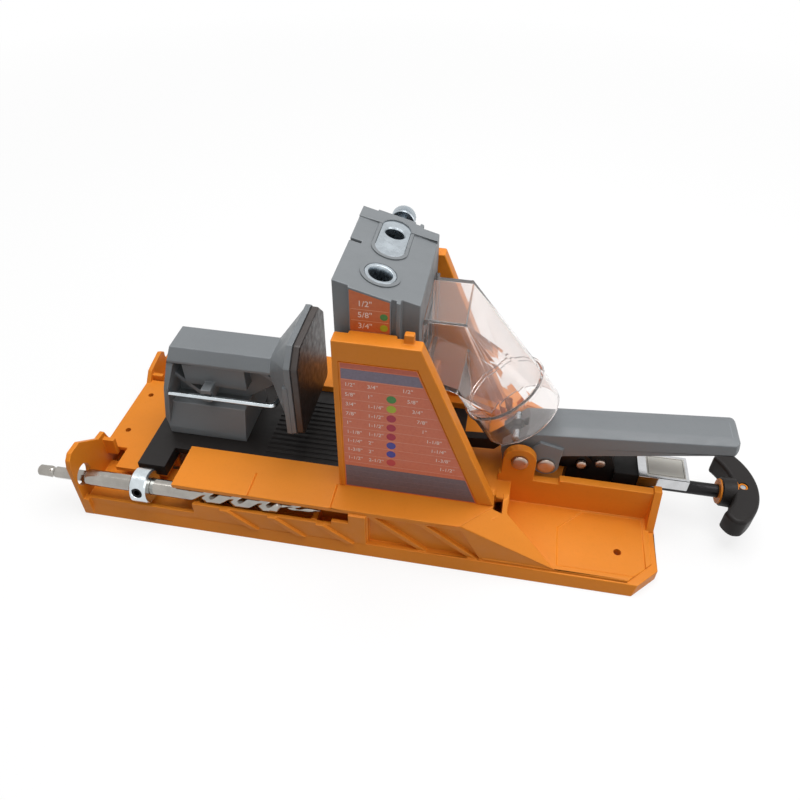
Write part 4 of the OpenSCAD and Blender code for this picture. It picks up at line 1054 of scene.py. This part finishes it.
class JIG_OT_jaw(JigOperator, bpy.types.Operator):
    """Slide plate, jaw, rubber pad and the hex key stored in the jaw"""
    bl_idname = "jig.jaw"
    bl_label = "Jaw"

    def execute(self, context):
        skin_piece("slide_plate_moulding", "slide_plate", 0.25 * MM, "carriage", "black_plastic")
        skin_piece("jaw_moulding", "jaw_body", sizes().edge, "carriage", "grey_plastic")
        skin_piece("jaw_pad_rubber", "jaw_pad", 0.9 * MM, "carriage", "pad_rubber")
        new_piece("hex_key_bent", swept_key(), "carriage", "zinc_steel", ["hex_key"], "bright_steel")
        return {"FINISHED"}


class JIG_OT_lever(JigOperator, bpy.types.Operator):
    """Lever, its links and its rivets"""
    bl_idname = "jig.lever"
    bl_label = "Lever and links"

    def execute(self, context):
        new_piece("lever_moulding", lever_mesh(), "lever", "grey_plastic", ["lever"])
        skin_piece("drive_link_bar", "drive_link", 0.5 * MM, "drive_link", "black_plastic")
        skin_piece("lock_link_plates", "lock_link", 0.3 * MM, "lock_link", "black_steel")
        skin_piece("yoke_block", "yoke", 0.4 * MM, "frame", "black_plastic")
        for name, body, node, places, shank, head in RIVETS:
            shape = bmesh.new()
            for x, z, half in places:
                rivet(shape, x, z, half, shank, head, HEAD_HEIGHT)
            new_piece(name, mesh_of(shape, name), body, "rivet_steel", [node])
        return {"FINISHED"}


class JIG_OT_force_screw(JigOperator, bpy.types.Operator):
    """Bracket, nut, rod and T-handle of the force screw"""
    bl_idname = "jig.force_screw"
    bl_label = "Force screw"

    def execute(self, context):
        skin_piece("bracket_folded", "adjuster_bracket", 0.6 * MM, "frame", "bracket_chrome")
        new_piece("bracket_sticker", bracket_sticker(), "frame", "bracket_chrome", (), "printed_film")
        skin_piece("nut_block", "adjuster_nut", 0.4 * MM, "frame", "black_plastic")
        new_piece("rod_turned", rod_mesh(), "force_screw", "black_steel", ["adjuster_rod"])
        new_piece("grip_moulding", grip_mesh(), "force_screw", "black_plastic", ["handle_grip"])
        new_piece("pin_bush", pin_bush_mesh(), "force_screw", "orange_plastic")
        return {"FINISHED"}


class JIG_OT_drill(JigOperator, bpy.types.Operator):
    """Fluted step drill with its stop collar and set screw"""
    bl_idname = "jig.drill"
    bl_label = "Drill and collar"

    def execute(self, context):
        new_piece("drill_fluted", fluted_drill(), "frame", "drill_steel", ["drill_bit"])
        new_piece("stop_collar_turned", collar_mesh(), "frame", "zinc_steel", ["stop_collar"], "bright_steel")
        new_piece("collar_set_screw", collar_screw_mesh(), "frame", "black_steel", ["collar_screw"])
        return {"FINISHED"}


class JIG_OT_labels(JigOperator, bpy.types.Operator):
    """Printed films on the tower and the guide block"""
    bl_idname = "jig.labels"
    bl_label = "Labels"

    def execute(self, context):
        new_piece("tower_table", tower_table(), "frame", "orange_plastic", (), "printed_film")
        new_piece("block_scale", block_scale(), "guide", "grey_plastic", (), "printed_film")
        return {"FINISHED"}


KEPT = {
    "slide_keeper": "black_plastic", "tower_screws": "zinc_steel", "jaw_screws": "zinc_steel",
    "drive_pin": "zinc_steel", "slide_pin": "zinc_steel", "adjuster_spring": "zinc_steel",
    "handle_core": "orange_plastic", "handle_pin": "zinc_steel",
}


class JIG_OT_kept(JigOperator, bpy.types.Operator):
    """Finishes of the hidden solids that stay as they are"""
    bl_idname = "jig.kept"
    bl_label = "Kept solids"

    def execute(self, context):
        for node, slot in KEPT.items():
            for holder in NODES[node].material_slots:
                holder.material = finish(slot)
        return {"FINISHED"}


# Studio

CAMERA_PLACE = Vector((63, -309, 345)) * MM
CAMERA_RIGHT = Vector((0.98492, 0.17258, 0.01238))
CAMERA_UP = Vector((-0.12484, 0.65931, 0.74144))
CAMERA_BACK = Vector((0.11979, -0.73180, 0.67091))
SENSOR = 36
FOCAL_PIXELS = 714.8
PICTURE_PIXELS = 800
# Lamps: name, place, target, size, power
LAMPS = (
    ("top_lamp", (0.08, 0.12, 1.2), (0.0, 0.0, 0.05), 1.1, 15.5),
    ("front_lamp", (0.1, -1.2, 0.8), (0.0, 0.0, 0.06), 0.9, 1.1),
    ("right_lamp", (1.15, -0.25, 0.5), (0.0, 0.0, 0.06), 0.8, 2.2),
)


def floor_mesh():
    """Wide floor whose middle, under the base, is marked so that it stays in shadow."""
    shape = bmesh.new()
    layer = shape.faces.layers.float.new("open")
    stops = ((-6, -0.15, 0.155, 6), (-6, -0.06, 0.06, 6))
    grid = [[shape.verts.new((x, y, -0.1 * MM)) for y in stops[1]] for x in stops[0]]
    for i in range(3):
        for j in range(3):
            face = shape.faces.new((grid[i][j], grid[i + 1][j], grid[i + 1][j + 1], grid[i][j + 1]))
            face[layer] = 0.0 if i == j == 1 else 1.0
    mesh = bpy.data.meshes.new("studio_floor")
    shape.to_mesh(mesh)
    shape.free()
    return mesh


def floor_material():
    """White floor that keeps the object's soft shadow."""
    mat = bpy.data.materials.new("studio_floor")
    mat.use_nodes = True
    tree = mat.node_tree
    tree.nodes.clear()
    node = tree.nodes.new
    link = tree.links.new
    out = node("ShaderNodeOutputMaterial")
    matt = node("ShaderNodeBsdfDiffuse")
    tone = node("ShaderNodeMix")
    tone.data_type = "RGBA"
    tone.inputs[6].default_value = (0.5, 0.5, 0.5, 1)
    tone.inputs[7].default_value = (0.97, 0.97, 0.97, 1)
    link(seen_white(tree), tone.inputs[0])
    link(tone.outputs[2], matt.inputs["Color"])
    white = node("ShaderNodeEmission")
    white.inputs["Strength"].default_value = 1.0
    blend = node("ShaderNodeMixShader")
    open_floor = node("ShaderNodeAttribute")
    open_floor.attribute_name = "open"
    reach = node("ShaderNodeVectorMath")
    reach.operation = "LENGTH"
    link(node("ShaderNodeTexCoord").outputs["Object"], reach.inputs[0])
    fade = node("ShaderNodeMapRange")
    for name, value in (("From Min", 0.3), ("From Max", 1.1), ("To Min", 0.8), ("To Max", 1.0)):
        fade.inputs[name].default_value = value
    link(reach.outputs["Value"], fade.inputs["Value"])
    shown = maths(tree, "MULTIPLY", fade.outputs["Result"], open_floor.outputs["Fac"])
    link(maths(tree, "MULTIPLY", shown, seen_white(tree)), blend.inputs["Fac"])
    link(matt.outputs["BSDF"], blend.inputs[1])
    link(white.outputs["Emission"], blend.inputs[2])
    link(blend.outputs["Shader"], out.inputs["Surface"])
    return mat


def studio_world():
    """World that lights softly and shows white."""
    world = bpy.data.worlds.new("studio_world")
    bpy.context.scene.world = world
    world.use_nodes = True
    tree = world.node_tree
    tree.nodes.clear()
    node = tree.nodes.new
    link = tree.links.new
    out = node("ShaderNodeOutputWorld")
    soft = node("ShaderNodeBackground")
    soft.inputs["Color"].default_value = (1, 1, 1, 1)
    soft.inputs["Strength"].default_value = 0.22
    white = node("ShaderNodeBackground")
    white.inputs["Color"].default_value = (1, 1, 1, 1)
    white.inputs["Strength"].default_value = 1.0
    blend = node("ShaderNodeMixShader")
    link(seen_white(tree), blend.inputs["Fac"])
    link(soft.outputs["Background"], blend.inputs[1])
    link(white.outputs["Background"], blend.inputs[2])
    link(blend.outputs["Shader"], out.inputs["Surface"])


class JIG_OT_stage(JigOperator, bpy.types.Operator):
    """Floor, world, lamps and the camera at the photograph's angle"""
    bl_idname = "jig.stage"
    bl_label = "Studio"

    def execute(self, context):
        scene = context.scene
        scene.view_settings.view_transform = "Standard"
        mesh = floor_mesh()
        mesh.materials.append(floor_material())
        floor = linked("studio_floor", mesh)
        studio_world()
        for name, place, target, size, power in LAMPS:
            lamp = bpy.data.lights.new(name, "AREA")
            lamp.size = size
            lamp.energy = power
            holder = linked(name, lamp)
            holder.location = place
            holder.rotation_euler = (Vector(target) - Vector(place)).to_track_quat("-Z", "Y").to_euler()
        camera = bpy.data.cameras.new("camera")
        camera.lens = FOCAL_PIXELS / PICTURE_PIXELS * SENSOR
        camera.sensor_width = SENSOR
        camera.clip_start = 0.01
        camera.clip_end = 50
        holder = linked("camera", camera)
        turn = Matrix((CAMERA_RIGHT, CAMERA_UP, CAMERA_BACK)).transposed().to_4x4()
        holder.matrix_world = Matrix.Translation(CAMERA_PLACE) @ turn
        scene.camera = holder
        return {"FINISHED"}


OPERATORS = (JIG_OT_stage, JIG_OT_base, JIG_OT_guide, JIG_OT_jaw, JIG_OT_lever, JIG_OT_force_screw,
             JIG_OT_drill, JIG_OT_labels, JIG_OT_kept)


class JIG_PT_pieces(bpy.types.Panel):
    """Lists the jig's pieces, colours and sizes"""
    bl_idname = "JIG_PT_pieces"
    bl_label = "Pocket hole jig"
    bl_space_type = "VIEW_3D"
    bl_region_type = "UI"
    bl_category = "Jig"

    def draw(self, context):
        for operator in OPERATORS:
            self.layout.operator(operator.bl_idname)
        for group in (context.scene.jig_colours, context.scene.jig_sizes):
            for name in group.__annotations__:
                self.layout.prop(group, name)


CLASSES = (JigColours, JigSizes, *OPERATORS, JIG_PT_pieces)


def register():
    """Registers the classes and the scene's groups."""
    for item in CLASSES:
        bpy.utils.register_class(item)
    bpy.types.Scene.jig_colours = PointerProperty(type=JigColours)
    bpy.types.Scene.jig_sizes = PointerProperty(type=JigSizes)


def unregister():
    """Takes the classes and groups out again."""
    del bpy.types.Scene.jig_sizes
    del bpy.types.Scene.jig_colours
    for item in reversed(CLASSES):
        bpy.utils.unregister_class(item)


def main():
    """Builds every piece."""
    register()
    bpy.ops.jig.stage()
    bpy.ops.jig.base()
    bpy.ops.jig.guide()
    bpy.ops.jig.jaw()
    bpy.ops.jig.lever()
    bpy.ops.jig.force_screw()
    bpy.ops.jig.drill()
    bpy.ops.jig.labels()
    bpy.ops.jig.kept()


if __name__ == "__main__":
    main()
